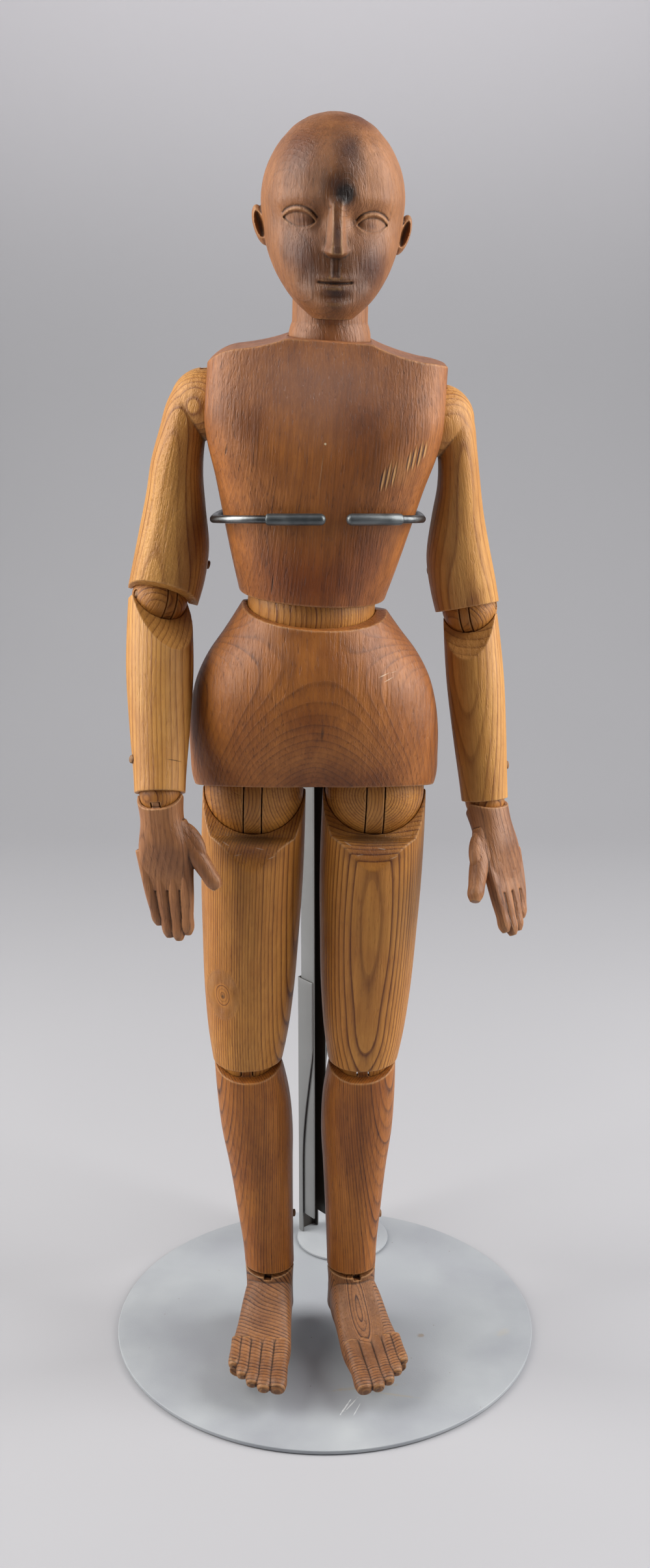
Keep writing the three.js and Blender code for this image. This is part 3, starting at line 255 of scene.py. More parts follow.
def skin(rings: np.ndarray) -> Blank:
    """Closes a stack of rings into a blank.

    Args:
        rings: points of each ring, lowest ring first and turning left as seen from its top.

    Returns:
        The blank, with a fan over each end.
    """
    count, sides, _ = rings.shape
    points = np.concatenate([rings.reshape(-1, 3), rings[:1].mean(axis=1), rings[-1:].mean(axis=1)])
    faces: list[Sequence[int]] = []
    top = (count - 1) * sides
    for j in range(sides):
        k = (j + 1) % sides
        for i in range(0, (count - 1) * sides, sides):
            faces.append((i + j, i + k, i + sides + k, i + sides + j))
        faces += [(count * sides, k, j), (count * sides + 1, top + j, top + k)]
    return Blank(points, faces)


def bent(value: np.ndarray, power: np.ndarray) -> np.ndarray:
    """Pushes a circle's sine or cosine out towards a square."""
    return np.sign(value) * np.abs(value) ** (2 / power)


def loft(stations: Sequence[Row], sides: int = 72, rings: int = 72) -> Blank:
    """Lofts oval sections along Z.

    Args:
        stations: the rows that smooth_rows takes.
        sides: points round a section.
        rings: sections along the loft.

    Returns:
        The closed loft.
    """
    rows = smooth_rows(stations, rings)
    angle = np.linspace(0, 2 * math.pi, sides, endpoint=False)[None, :]
    z, half, front, back, centre, power = (rows[:, i : i + 1] for i in range(6))
    x = centre + half * bent(np.cos(angle), power)
    y = (back - front) / 2 + (front + back) / 2 * bent(np.sin(angle), power)
    return skin(np.stack([x, y, np.broadcast_to(z, x.shape)], axis=2))


def lathe(profile: Sequence[Flat], sides: int = 64) -> Blank:
    """Turns a profile of radius and height about Z, from its lowest point up.

    Args:
        profile: rows of radius and height.
        sides: points round it.

    Returns:
        The closed turning.
    """
    angle = np.linspace(0, 2 * math.pi, sides, endpoint=False)[None, :]
    radius, height = (np.array(profile, float)[:, i : i + 1] for i in range(2))
    radius = np.maximum(radius, 1e-3)
    turned = radius * np.cos(angle), radius * np.sin(angle), np.broadcast_to(height, (len(profile), sides))
    return skin(np.stack(turned, 2))


def ball(radius: float, sides: int = 64) -> Blank:
    """A turned ball."""
    angle = np.linspace(-math.pi / 2, math.pi / 2, sides // 2)
    return lathe(list(zip(radius * np.cos(angle), radius * np.sin(angle))), sides)


def rod(radius: float, start: float, end: float, sides: int = 40) -> Blank:
    """A round rod along Z."""
    return lathe([(0, start), (radius, start), (radius, end), (0, end)], sides)


def rod_x(radius: float, start: float, end: float, y: float = 0, z: float = 0, sides: int = 40) -> Blank:
    """A round rod along X, at a depth and a height."""
    return rod(radius, start, end, sides).turned(90, "Y").at(0, y, z)


def prism(outline: Sequence[Flat], width: float) -> Blank:
    """Draws a side outline in Y and Z out along X.

    Args:
        outline: the corners in Y and Z.
        width: the whole width, about the middle.

    Returns:
        The closed prism.
    """
    flat = np.array(outline, float)
    after = np.roll(flat, -1, axis=0)
    if np.sum(flat[:, 0] * after[:, 1] - after[:, 0] * flat[:, 1]) < 0:
        flat = flat[::-1]
    count = len(flat)
    points = np.concatenate([np.column_stack([np.full(count, x), flat]) for x in (-width / 2, width / 2)])
    faces: list[Sequence[int]] = [tuple(range(count))[::-1], tuple(range(count, 2 * count))]
    faces += [(i, (i + 1) % count, count + (i + 1) % count, count + i) for i in range(count)]
    return Blank(points, faces)


def block(x: Flat, y: Flat, z: Flat) -> Blank:
    """A squared block between pairs of limits."""
    made = prism([(y[0], z[0]), (y[1], z[0]), (y[1], z[1]), (y[0], z[1])], x[1] - x[0])
    return made.at((x[0] + x[1]) / 2)


def tube(path: np.ndarray, radii: np.ndarray, sides: int = 20) -> Blank:
    """A round bar along a path that is nowhere steep.

    Args:
        path: the centre line's points.
        radii: the bar's radius at each of them.
        sides: points round the bar.

    Returns:
        The closed bar.
    """
    along = np.gradient(path, axis=0)
    along /= np.linalg.norm(along, axis=1)[:, None]
    across = np.cross(np.array([0.0, 0.0, 1.0]), along)
    across /= np.linalg.norm(across, axis=1)[:, None]
    up = np.cross(along, across)
    angle = np.linspace(0, 2 * math.pi, sides, endpoint=False)
    ring = np.cos(angle)[None, :, None] * across[:, None, :] + np.sin(angle)[None, :, None] * up[:, None, :]
    return skin(path[:, None, :] + radii[:, None, None] * ring)


def curve_points(knots: Sequence[Flat], count: int) -> np.ndarray:
    """Draws a curve that starts and ends at its outer knots and is pulled by those between.

    Args:
        knots: the ends and what pulls between them.
        count: how many points to give back.

    Returns:
        The points, one row each.
    """
    t, order = np.linspace(0, 1, count)[:, None], len(knots) - 1
    shares = (math.comb(order, i) * t**i * (1 - t) ** (order - i) for i in range(order + 1))
    return sum(share * np.array(knot) for share, knot in zip(shares, knots))


def stamp(
    name: str, first: Blank, steps: Iterable[Step] = (), modifiers: Sequence[tuple[str, dict]] = ()
) -> bpy.types.Mesh:
    """Joins and cuts blanks in order, then runs modifiers on the result.

    Args:
        name: the mesh's name.
        first: the blank to start from.
        steps: the other blanks, each with what it does.
        modifiers: type and settings of each modifier that follows.

    Returns:
        The finished mesh, in metres.
    """
    scene = bpy.context.scene.collection
    work = bpy.data.objects.new(name, first.mesh(name))
    tools = []
    scene.objects.link(work)
    for cut, blank in steps:
        tool = bpy.data.objects.new("tool", blank.mesh("tool"))
        scene.objects.link(tool)
        tools.append(tool)
        made = work.modifiers.new("cut", "BOOLEAN")
        made.operation, made.object, made.solver = cut.value, tool, "MANIFOLD"
    for kind, settings in modifiers:
        made = work.modifiers.new(kind, kind)
        for key, value in settings.items():
            setattr(made, key, value)
    bpy.context.view_layer.update()
    result = bpy.data.meshes.new_from_object(work.evaluated_get(bpy.context.evaluated_depsgraph_get()))
    result.name = name
    for used in [work, *tools]:
        spent = used.data
        bpy.data.objects.remove(used)
        bpy.data.meshes.remove(spent)
    return result


def carved(voxel: float, relax: int, keep: float) -> list[tuple[str, dict]]:
    """The modifiers that soften a cut blank as a rasp and years of handling do.

    Args:
        voxel: grid size in millimetres.
        relax: rounds of smoothing.
        keep: share of the faces that stays.

    Returns:
        Modifier types and settings.
    """
    size = voxel * MM * 1
    steps = [("REMESH", {"mode": "VOXEL", "voxel_size": size})]
    steps.append(("SMOOTH", {"factor": 0.5, "iterations": relax}))
    return steps + [("DECIMATE", {"ratio": keep})] if keep < 1 else steps


def read_points(mesh: bpy.types.Mesh) -> tuple[np.ndarray, np.ndarray]:
    """Returns a mesh's points, in millimetres, and its normals at them.

    Args:
        mesh: the mesh to read.

    Returns:
        Points and normals, one row each.
    """
    points, normals = np.empty(len(mesh.vertices) * 3), np.empty(len(mesh.vertices) * 3)
    mesh.vertices.foreach_get("co", points)
    mesh.vertex_normals.foreach_get("vector", normals)
    return points.reshape(-1, 3) / MM, normals.reshape(-1, 3)


def mark_edges(mesh: bpy.types.Mesh) -> None:
    """Stores how proud or how deep each point lies, for worn edges and for the dirt and painted shade in
    hollows.

    Args:
        mesh: the finished mesh, which gets the point attributes "worn" and "grime".
    """
    count = len(mesh.vertices)
    points, normals = read_points(mesh)
    edges = np.empty(len(mesh.edges) * 2, int)
    mesh.edges.foreach_get("vertices", edges)
    edges = edges.reshape(-1, 2)
    hollow, tally = np.zeros(count), np.zeros(count)
    for start, end in (edges.T, edges.T[::-1]):
        step = points[end] - points[start]
        bend = np.einsum("ij,ij->i", normals[start], step) / np.maximum((step**2).sum(1), 1e-4)
        np.add.at(hollow, start, bend)
        np.add.at(tally, start, 1)
    hollow /= np.maximum(tally, 1)
    for _ in range(3):
        spread = np.zeros(count)
        np.add.at(spread, edges[:, 0], hollow[edges[:, 1]])
        np.add.at(spread, edges[:, 1], hollow[edges[:, 0]])
        hollow = (hollow + spread / np.maximum(tally, 1)) / 2
    for name, value, most in (("worn", -hollow - 0.06, 0.5), ("grime", hollow - 0.03, 1.0)):
        layer = mesh.attributes.new(name, "FLOAT", "POINT")
        layer.data.foreach_set("value", np.clip(value * 6, 0, most).astype(np.float32))


# Finishes


class Ink(Enum):
    """How a mark's colour lies on a surface: sunk in as stain, or covering it."""

    STAIN = "MULTIPLY"
    COVER = "MIX"


@dataclass(frozen=True)
class Mark:
    """A knot, stain, scratch or gouge: an oval place in a surface with its own colour and depth.

    Attributes:
        at: its centre in the piece's frame.
        size: its half lengths along X, Y and Z.
        colour: sRGB hex.
        share: how strongly it covers.
        turn: degrees about Y, as seen from the front.
        soft: how much of its size is a fading border.
        dent: depth in millimetres, or less than zero where it stands proud.
        ink: how the colour lies.
    """

    at: Point
    size: Point
    colour: str
    share: float = 0.8
    turn: float = 0.0
    soft: float = 0.6
    dent: float = 0.0
    ink: Ink = Ink.COVER


def stain(at: Point, size: Point, colour: str, share: float = 0.8, turn: float = 0.0) -> Mark:
    """A soft-edged stain that leaves the grain to be seen."""
    return Mark(at, size, colour, share, turn, 1.0, ink=Ink.STAIN)


@dataclass(frozen=True)
class Knot:
    """A side branch: small rings of their own about an axis through the piece."""

    at: Point
    axis: Point
    reach: float
    ring: float


@dataclass(frozen=True)
class Grain:
    """How a piece was sawn out of the log.

    Attributes:
        pith: a point of the log's centre line, in the piece's frame.
        lean: degrees that the centre line leans about X and about Y from the piece's own Z.
        ring: width of a year's growth.
        wander: how far the rings stray from round.
        seed: which log.
        marks: what has happened to the piece.
        knots: side branches in it.
        chatter: share of rasp and gouge marks left on it.
    """

    pith: Flat
    lean: Flat = (0.0, 0.0)
    ring: float = 2.4
    wander: float = 3.0
    seed: float = 0.0
    marks: tuple[Mark, ...] = ()
    knots: tuple[Knot, ...] = ()
    chatter: float = 0.25


@dataclass(frozen=True)
class Timber:
    """Old softwood, carved, stained or bare, waxed and handled: soft sheen, ring lines, dirt and painted shade
    in corners.

    Attributes:
        name: common name of the finished wood.
        slot: the record's material slot.
        early: hex of the wide pale wood.
        late: hex of the narrow dark lines.
        stain: hex of the tint that old stain gives it.
        blotch: how much of it is blotched.
        lines: how strongly the year rings show.
        pores: how strongly the pores show.
        streaks: how strongly the fibres and the streaks show.
        rough: mean roughness.
    """

    name: str
    slot: str
    early: str
    late: str
    stain: str
    blotch: float
    lines: float
    pores: float
    streaks: float
    rough: float

    def material(self, piece: str, grain: Grain) -> bpy.types.Material:
        """Makes the node material of one piece.

        Args:
            piece: the piece's name, for the material's name.
            grain: how the piece was sawn.

        Returns:
            The material.
        """
        made, add, place = open_material(f"{self.name}_{piece}")
        lean, seed = (*map(math.radians, grain.lean), 0), grain.seed
        log = {"Location": (*grain.pith, 0), "Rotation": lean}
        sawn = add("Mapping", {"Vector": place, **log}, vector_type="TEXTURE")
        shifted = add("VectorMath", {0: sawn, 1: (seed * 37, seed * 11, seed * 53)})
        long = add("VectorMath", {0: shifted, 1: (1, 1, 0.22)}, operation="MULTIPLY")
        # The rings stray over some 60 mm, as a tree's do, and much less along the trunk than across it.
        stray = add("TexNoise", {"Vector": long, "Scale": 1 / 60, "Detail": 2.0}, "Color")
        stray = add("VectorMath", {0: stray, 1: (0.5, 0.5, 0.5)}, operation="SUBTRACT")
        push = {0: stray, 1: (grain.wander * 4, grain.wander * 4, 0), 2: sawn}
        flat = add("VectorMath", push, operation="MULTIPLY_ADD")
        flat = add("VectorMath", {0: flat, 1: (1, 1, 0)}, operation="MULTIPLY")
        radius = add("VectorMath", {0: flat}, "Value", operation="LENGTH")
        years = add("Math", {0: radius, 1: grain.ring}, operation="DIVIDE")
        for knot in grain.knots:
            turn = tuple(Vector(knot.axis).normalized().to_track_quat("Z", "Y").to_euler())
            branch = {"Vector": place, "Location": knot.at, "Rotation": turn}
            thin = add("Mapping", branch, vector_type="TEXTURE")
            thin = add("VectorMath", {0: thin, 1: (1, 0.62, 0)}, operation="MULTIPLY")
            away = add("VectorMath", {0: thin}, "Value", operation="LENGTH")
            own = add("Math", {0: away, 1: knot.ring}, operation="DIVIDE")
            fade = {"From Min": knot.reach * 0.45, "From Max": knot.reach, "To Min": 1.0, "To Max": 0.0}
            inside = add("MapRange", {"Value": away, **fade}, interpolation_type="SMOOTHSTEP")
            years = add("Mix", {"Factor": inside, 2: years, 3: own})
        part = add("Math", {0: years}, operation="FRACT")
        year = add("Math", {0: years}, operation="FLOOR")
        # A year's wood darkens slowly and ends in one sharp line, and no two years are alike.
        ramp = add("ValToRGB", {"Fac": part}, "Color")
        stops = ((0.0, 0.15), (0.1, 0.0), (0.5, 0.1), (0.76, 0.45), (0.9, 1.0), (1.0, 0.55))
        elements = ramp.node.color_ramp.elements
        for i, (spot, value) in enumerate(stops):
            element = elements[i] if i < 2 else elements.new(spot)
            element.position, element.color = spot, (value, value, value, 1)
        luck = add("TexWhiteNoise", {"W": year}, "Value", noise_dimensions="1D")
        luck = add("MapRange", {"Value": luck, "To Min": 0.4, "To Max": 1.0})
        line = add("Math", {0: ramp, 1: luck}, operation="MULTIPLY")
        # Broad streaks 7 mm wide and fibres from 2 mm down run far along the grain, with short dark pores.
        threads = []
        for width, stretch, detail in ((7, 0.035, 3.0), (2, 0.05, 5.0), (1.3, 0.17, 1.0)):
            noise = {"Scale": 1 / width, "Detail": detail, "Roughness": 0.68}
            drawn = add("VectorMath", {0: shifted, 1: (1, 1, stretch)}, operation="MULTIPLY")
            threads.append(add("TexNoise", {"Vector": drawn, **noise}))
        streak, fibre, pore = threads
        pore = add("MapRange", {"Value": pore, "From Min": 0.6, "From Max": 0.72})
        fine, broad = 1.5 * self.streaks, 1.1 * self.streaks
        shade = 0.2 - (fine + broad) / 2
        for thread, share in ((fibre, fine), (streak, broad), (line, self.lines), (pore, self.pores)):
            shade = add("Math", {0: thread, 1: share, 2: shade}, operation="MULTIPLY_ADD")
        shade = add("Clamp", {"Value": shade})
        colour = add("Mix", {0: shade, 6: linear(self.early), 7: linear(self.late)}, 2, data_type="RGBA")
        # Stain sank in unevenly, in blotches some 40 mm across along the grain, with a mottle of 9 mm.
        for size, share in ((42, self.blotch), (9, self.blotch * 0.6)):
            noise = {"Scale": 1 / size, "Detail": 4.0, "Roughness": 0.6}
            drawn = add("VectorMath", {0: shifted, 1: (1, 1, 0.5)}, operation="MULTIPLY")
            sunk = add("TexNoise", {"Vector": drawn, **noise})
            patch = {"Value": sunk, "From Min": 0.4, "From Max": 0.66, "To Max": share}
            patch = add("MapRange", patch, interpolation_type="SMOOTHSTEP")
            tint = {0: patch, 6: colour, 7: linear(self.stain)}
            colour = add("Mix", tint, 2, data_type="RGBA", blend_type=Ink.STAIN.value)
        # A gouge leaves shallow scallops about 7 mm across, and a rasp finer ones.
        scallop = {"Vector": long, "Scale": 1 / 7, "Smoothness": 0.6}
        scallop = add("TexVoronoi", scallop, "Distance", feature="SMOOTH_F1")
        rasp = add("TexNoise", {"Vector": place, "Scale": 1 / 2.2, "Detail": 2.0})
        height, cut = 0.0, 0.6 * grain.chatter
        for relief, deep in ((line, 0.12), (fibre, 0.7), (pore, -0.15), (scallop, cut), (rasp, cut)):
            height = add("Math", {0: relief, 1: deep, 2: height}, operation="MULTIPLY_ADD")
        for mark in grain.marks:
            spot = {"Location": mark.at, "Rotation": (0, math.radians(mark.turn), 0), "Scale": mark.size}
            oval = add("Mapping", {"Vector": place, **spot}, vector_type="TEXTURE")
            jitter = add("TexNoise", {"Vector": oval, "Scale": 1.6, "Detail": 3.0})
            away = add("VectorMath", {0: oval}, "Value", operation="LENGTH")
            away = add("Math", {0: jitter, 1: 0.5, 2: away}, operation="MULTIPLY_ADD")
            fade = {"Value": away, "From Min": 1.25, "From Max": 1.25 - mark.soft, "To Max": mark.share}
            cover = add("MapRange", fade, interpolation_type="SMOOTHSTEP")
            tint = {0: cover, 6: colour, 7: linear(mark.colour)}
            colour = add("Mix", tint, 2, data_type="RGBA", blend_type=mark.ink.value)
            if mark.dent:
                height = add("Math", {0: cover, 1: -mark.dent, 2: height}, operation="MULTIPLY_ADD")
        # Edges are rubbed pale by hands, and the corners darken with dust, wax and painted shade.
        worn = add("Attribute", out="Fac", attribute_name="worn")
        rubbed = add("Math", {0: worn, 1: rasp}, operation="MULTIPLY")
        colour = add("Mix", {0: rubbed, 6: colour, 7: linear(Tone.BARE.value)}, 2, data_type="RGBA")
        grime = add("Attribute", out="Fac", attribute_name="grime")
        grime = add("Math", {0: grime, 1: 0.75}, operation="MULTIPLY")
        colour = add("Mix", {0: grime, 6: colour, 7: linear(Tone.GRIME.value)}, 2, data_type="RGBA")
        gloss = {"From Min": 0.3, "From Max": 0.7, "To Min": self.rough - 0.07, "To Max": self.rough + 0.09}
        gloss = add("MapRange", {"Value": fibre, **gloss})
        gloss = add("Math", {0: grime, 1: 0.25, 2: gloss}, operation="MULTIPLY_ADD")
        bump = add("Bump", {"Height": height, "Distance": MM, "Strength": 0.8})
        sockets = {"Base Color": colour, "Roughness": gloss, "Normal": bump, "Specular IOR Level": 0.42}
        plug(made.node_tree.nodes["Principled BSDF"], sockets)
        return made


class Tone(Enum):
    """Colours that every wooden piece shares. The last two are tints of stain."""

    BARE = "#cfa06a"
    # Dirt and painted shade in the hollows.
    GRIME = "#24170e"
    GOUGE = "#c99a63"
    KNOT = "#1d120f"
    # Cracks and nicks, and the painted shadow beside each gouge.
    CRACK = "#2e1b10"
    DUST = "#b9ad9c"
    PURPLE = "#a58c8e"
    BROWN = "#a87c52"


CHEST_PINE = Timber("stained_pine", "dark_wood", "#ae6c34", "#50270e", "#a89084", 0.4, 0.2, 0.3, 0.8, 0.42)
HIP_PINE = Timber("waxed_pine", "dark_wood", "#ae6c30", "#4e250c", "#b0907a", 0.35, 0.42, 0.25, 0.6, 0.4)
HEAD_PINE = Timber("handled_pine", "dark_wood", "#a97145", "#543017", "#9c8480", 0.4, 0.2, 0.2, 0.55, 0.42)
LIMB_PINE = Timber("honey_pine", "honey_wood", "#d69d52", "#7c4616", "#cba878", 0.3, 0.75, 0.12, 0.45, 0.45)
THIGH_PINE = Timber("oiled_pine", "honey_wood", "#cb8c3e", "#6a380c", "#c49c6c", 0.3, 0.95, 0.12, 0.45, 0.45)
SHIN_PINE = Timber("brown_pine", "brown_wood", "#b06c26", "#4e2609", "#b48c64", 0.4, 0.8, 0.2, 0.55, 0.44)
HAND_PEAR = Timber(
    "stained_pear_wood", "red_wood", "#ae774c", "#522d18", "#a08680", 0.45, 0.45, 0.2, 0.6, 0.42
)
FOOT_PINE = Timber("trodden_pine", "red_wood", "#a06c40", "#40200e", "#a08680", 0.4, 1.2, 0.15, 0.4, 0.42)
BALL_PINE = Timber("bare_pine", "pale_wood", "#c88a3e", "#66340d", "#c09a6c", 0.35, 0.9, 0.15, 0.45, 0.48)
PEG_BEECH = Timber("dark_beech", "peg_wood", "#6a4429", "#3c2415", "#a08a7c", 0.5, 0.4, 0.3, 0.6, 0.55)


@dataclass(frozen=True)
class Paint:
    """Sprayed enamel on steel sheet: even, satin, with grit under it, scuffs and rubbed edges.

    Attributes:
        name: common name of the coat.
        slot: the record's material slot.
        coat: hex of the paint.
        shade: hex of its duller patches.
        scuff: hex of the scuffs and specks.
        rough: mean roughness.
        marks: stains and scratches on it, in the piece's frame.
        lining: hex of the painted shade on a folded sheet's inner face.
        grit: hex of the grit that shows through.
    """

    name: str
    slot: str
    coat: str
    shade: str
    scuff: str
    rough: float
    marks: tuple[Mark, ...] = ()
    lining: str = "#2b2621"
    grit: str = "#6e675c"

    def material(self, fold: Flat | None = None) -> bpy.types.Material:
        """Makes the node material.

        Args:
            fold: half width and back of the middle of a folded sheet, if the inside of one shows; that inside
                gets painted shade.

        Returns:
            The material.
        """
        made, add, place = open_material(self.name)
        cloud = add("TexNoise", {"Vector": place, "Scale": 1 / 70, "Detail": 5.0})
        cloud = add("MapRange", {"Value": cloud, "From Min": 0.35, "From Max": 0.65})
        colour = add("Mix", {0: cloud, 6: linear(self.coat), 7: linear(self.shade)}, 2, data_type="RGBA")
        # Orange peel of a spray gun: dimples about a millimetre across.
        peel = add("TexNoise", {"Vector": place, "Scale": 1 / 1.1, "Detail": 2.0})
        grit = add("TexVoronoi", {"Vector": place, "Scale": 1 / 9, "Randomness": 1.0}, "Distance")
        near = {"Value": grit, "From Min": 0.035, "From Max": 0.06, "To Min": 1.0, "To Max": 0.0}
        kept = add("SeparateColor", {"Color": grit.node.outputs["Color"]})
        kept = add("Math", {0: kept, 1: 0.72}, operation="GREATER_THAN")
        speck = add("Math", {0: add("MapRange", near), 1: kept}, operation="MULTIPLY")
        colour = add("Mix", {0: speck, 6: colour, 7: linear(self.grit)}, 2, data_type="RGBA")
        for mark in self.marks:
            spot = {"Location": mark.at, "Rotation": (0, 0, math.radians(mark.turn)), "Scale": mark.size}
            oval = add("Mapping", {"Vector": place, **spot}, vector_type="TEXTURE")
            jitter = add("TexNoise", {"Vector": place, "Scale": 1 / 3, "Detail": 3.0})
            away = add("VectorMath", {0: oval}, "Value", operation="LENGTH")
            away = add("Math", {0: jitter, 1: 1.2, 2: away}, operation="MULTIPLY_ADD")
            fade = {"Value": away, "From Min": 1.6, "From Max": 1.6 - mark.soft, "To Max": mark.share}
            cover = add("MapRange", fade, interpolation_type="SMOOTHSTEP")
            colour = add("Mix", {0: cover, 6: colour, 7: linear(mark.colour)}, 2, data_type="RGBA")
        worn = add("Attribute", out="Fac", attribute_name="worn")
        worn = add("Math", {0: worn, 1: cloud}, operation="MULTIPLY")
        colour = add("Mix", {0: worn, 6: colour, 7: linear(self.scuff)}, 2, data_type="RGBA")
        # Painted shade: the inside of a folded sheet is coloured dark.
        if fold:
            x = add("SeparateXYZ", {"Vector": place}, "X")
            across = add("Math", {0: x}, operation="ABSOLUTE")
            within = add("Math", {0: across, 1: fold[0]}, operation="LESS_THAN")
            before = add("Math", {0: x.node.outputs["Y"], 1: fold[1]}, operation="LESS_THAN")
            inside = add("Math", {0: within, 1: before}, operation="MULTIPLY")
            colour = add("Mix", {0: inside, 6: colour, 7: linear(self.lining)}, 2, data_type="RGBA")
        gloss = add("MapRange", {"Value": cloud, "To Min": self.rough - 0.06, "To Max": self.rough + 0.08})
        height = add("Math", {0: speck, 1: 0.3, 2: peel}, operation="MULTIPLY_ADD")
        bump = add("Bump", {"Height": height, "Distance": 0.12 * MM, "Strength": 0.5})
        sockets = {"Base Color": colour, "Roughness": gloss, "Normal": bump}
        plug(made.node_tree.nodes["Principled BSDF"], sockets)
        return made


@dataclass(frozen=True)
class Metal:
    """Bright drawn steel, or a grey sleeve pushed over it: long fine draw lines and a soft reflection.

    Attributes:
        name: common name of the metal or sleeve.
        slot: the record's material slot.
        bright: hex of the rubbed parts.
        dull: hex of the tarnished parts.
        rough: mean roughness.
        metallic: one for bare metal.
    """

    name: str
    slot: str
    bright: str
    dull: str
    rough: float
    metallic: float

    def material(self) -> bpy.types.Material:
        """Makes the node material.

        Returns:
            The material.
        """
        made, add, place = open_material(self.name)
        # Draw lines run along the wire, so they are fine up and down and long round the loop.
        drawn = add("VectorMath", {0: place, 1: (0.12, 0.12, 2.2)}, operation="MULTIPLY")
        drawn = add("TexNoise", {"Vector": drawn, "Scale": 1.0, "Detail": 3.0})
        patch = add("TexNoise", {"Vector": place, "Scale": 1 / 14, "Detail": 4.0})
        patch = add("MapRange", {"Value": patch, "From Min": 0.4, "From Max": 0.65})
        colour = {0: patch, 6: linear(self.bright), 7: linear(self.dull)}
        colour = add("Mix", colour, 2, data_type="RGBA")
        gloss = {"From Min": 0.3, "From Max": 0.7, "To Min": self.rough - 0.08, "To Max": self.rough + 0.1}
        gloss = add("MapRange", {"Value": drawn, **gloss})
        bump = add("Bump", {"Height": drawn, "Distance": 0.05 * MM, "Strength": 0.5})
        sockets = {"Base Color": colour, "Roughness": gloss, "Normal": bump, "Metallic": self.metallic}
        plug(made.node_tree.nodes["Principled BSDF"], sockets)
        return made


# The frame


class Skeleton:
    """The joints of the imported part: where they are and how their axes lie."""

    def __init__(self, frame: dict) -> None:
        """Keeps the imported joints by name."""
        self.joints = {joint["name"]: joint for joint in frame["joints"]}
        self.nodes = frame["nodes"]

    def axis(self, name: str) -> Vector:
        """Returns a joint's axis, turned so that its largest part is positive."""
        found = Vector(self.joints[name]["axis"]).normalized()
        return found if max(found, key=abs) > 0 else -found

    def seat(self, pin: str, stem: str) -> Matrix:
        """Places a piece on its pin.

        Args:
            pin: the joint whose axis is the piece's X, and whose place is its origin.
            stem: the joint whose axis is the piece's Z.

        Returns:
            The piece's frame, in metres.
        """
        across, up = self.axis(pin), self.axis(stem)
        across = across if across.x > 0 else -across
        up = up if up.z > 0 else -up
        across = (across - up * across.dot(up)).normalized()
        turn = Matrix((across, up.cross(across), up)).transposed().to_4x4()
        return Matrix.Translation(self.joints[pin]["pos_m"]) @ turn

    def reach(self, node: str, seat: Matrix) -> tuple[np.ndarray, np.ndarray]:
        """Returns a node's lowest and highest corners in a piece's frame, in millimetres."""
        points = np.array([seat.inverted() @ vertex.co for vertex in self.nodes[node].data.vertices]) / MM
        return points.min(axis=0), points.max(axis=0)


def place(
    name: str, mesh: bpy.types.Mesh, seat: Matrix, body: str, look: bpy.types.Material, slot: str, node: str
) -> None:
    """Puts a finished mesh in the scene, on its body and in the place of its node.

    Args:
        name: the piece's name.
        mesh: its mesh, in its own frame.
        seat: that frame.
        body: the body that it rides on.
        look: its material.
        slot: the record's material slot; not used.
        node: the node that it stands for.
    """
    mark_edges(mesh)
    mesh.materials.clear()
    mesh.materials.append(look)
    mesh.polygons.foreach_set("use_smooth", [True] * len(mesh.polygons))
    made = bpy.data.objects.new(name, mesh)
    bpy.context.scene.collection.objects.link(made)
    made.matrix_world = seat
    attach(made, body)
    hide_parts(node)
    LOG.info("%s: %d faces on %s", name, len(mesh.polygons), body)


# Joints


def polar(degrees: float, radius: float) -> Flat:
    """A point of a joint's side outline; the angle goes up from the side that the joint folds to."""
    return -radius * math.cos(math.radians(degrees)), radius * math.sin(math.radians(degrees))


def arc(start: float, end: float, radius: float, steps: int) -> list[Flat]:
    """Points of a round run in a joint's side outline."""
    return [polar(start + (end - start) * i / steps, radius) for i in range(steps + 1)]


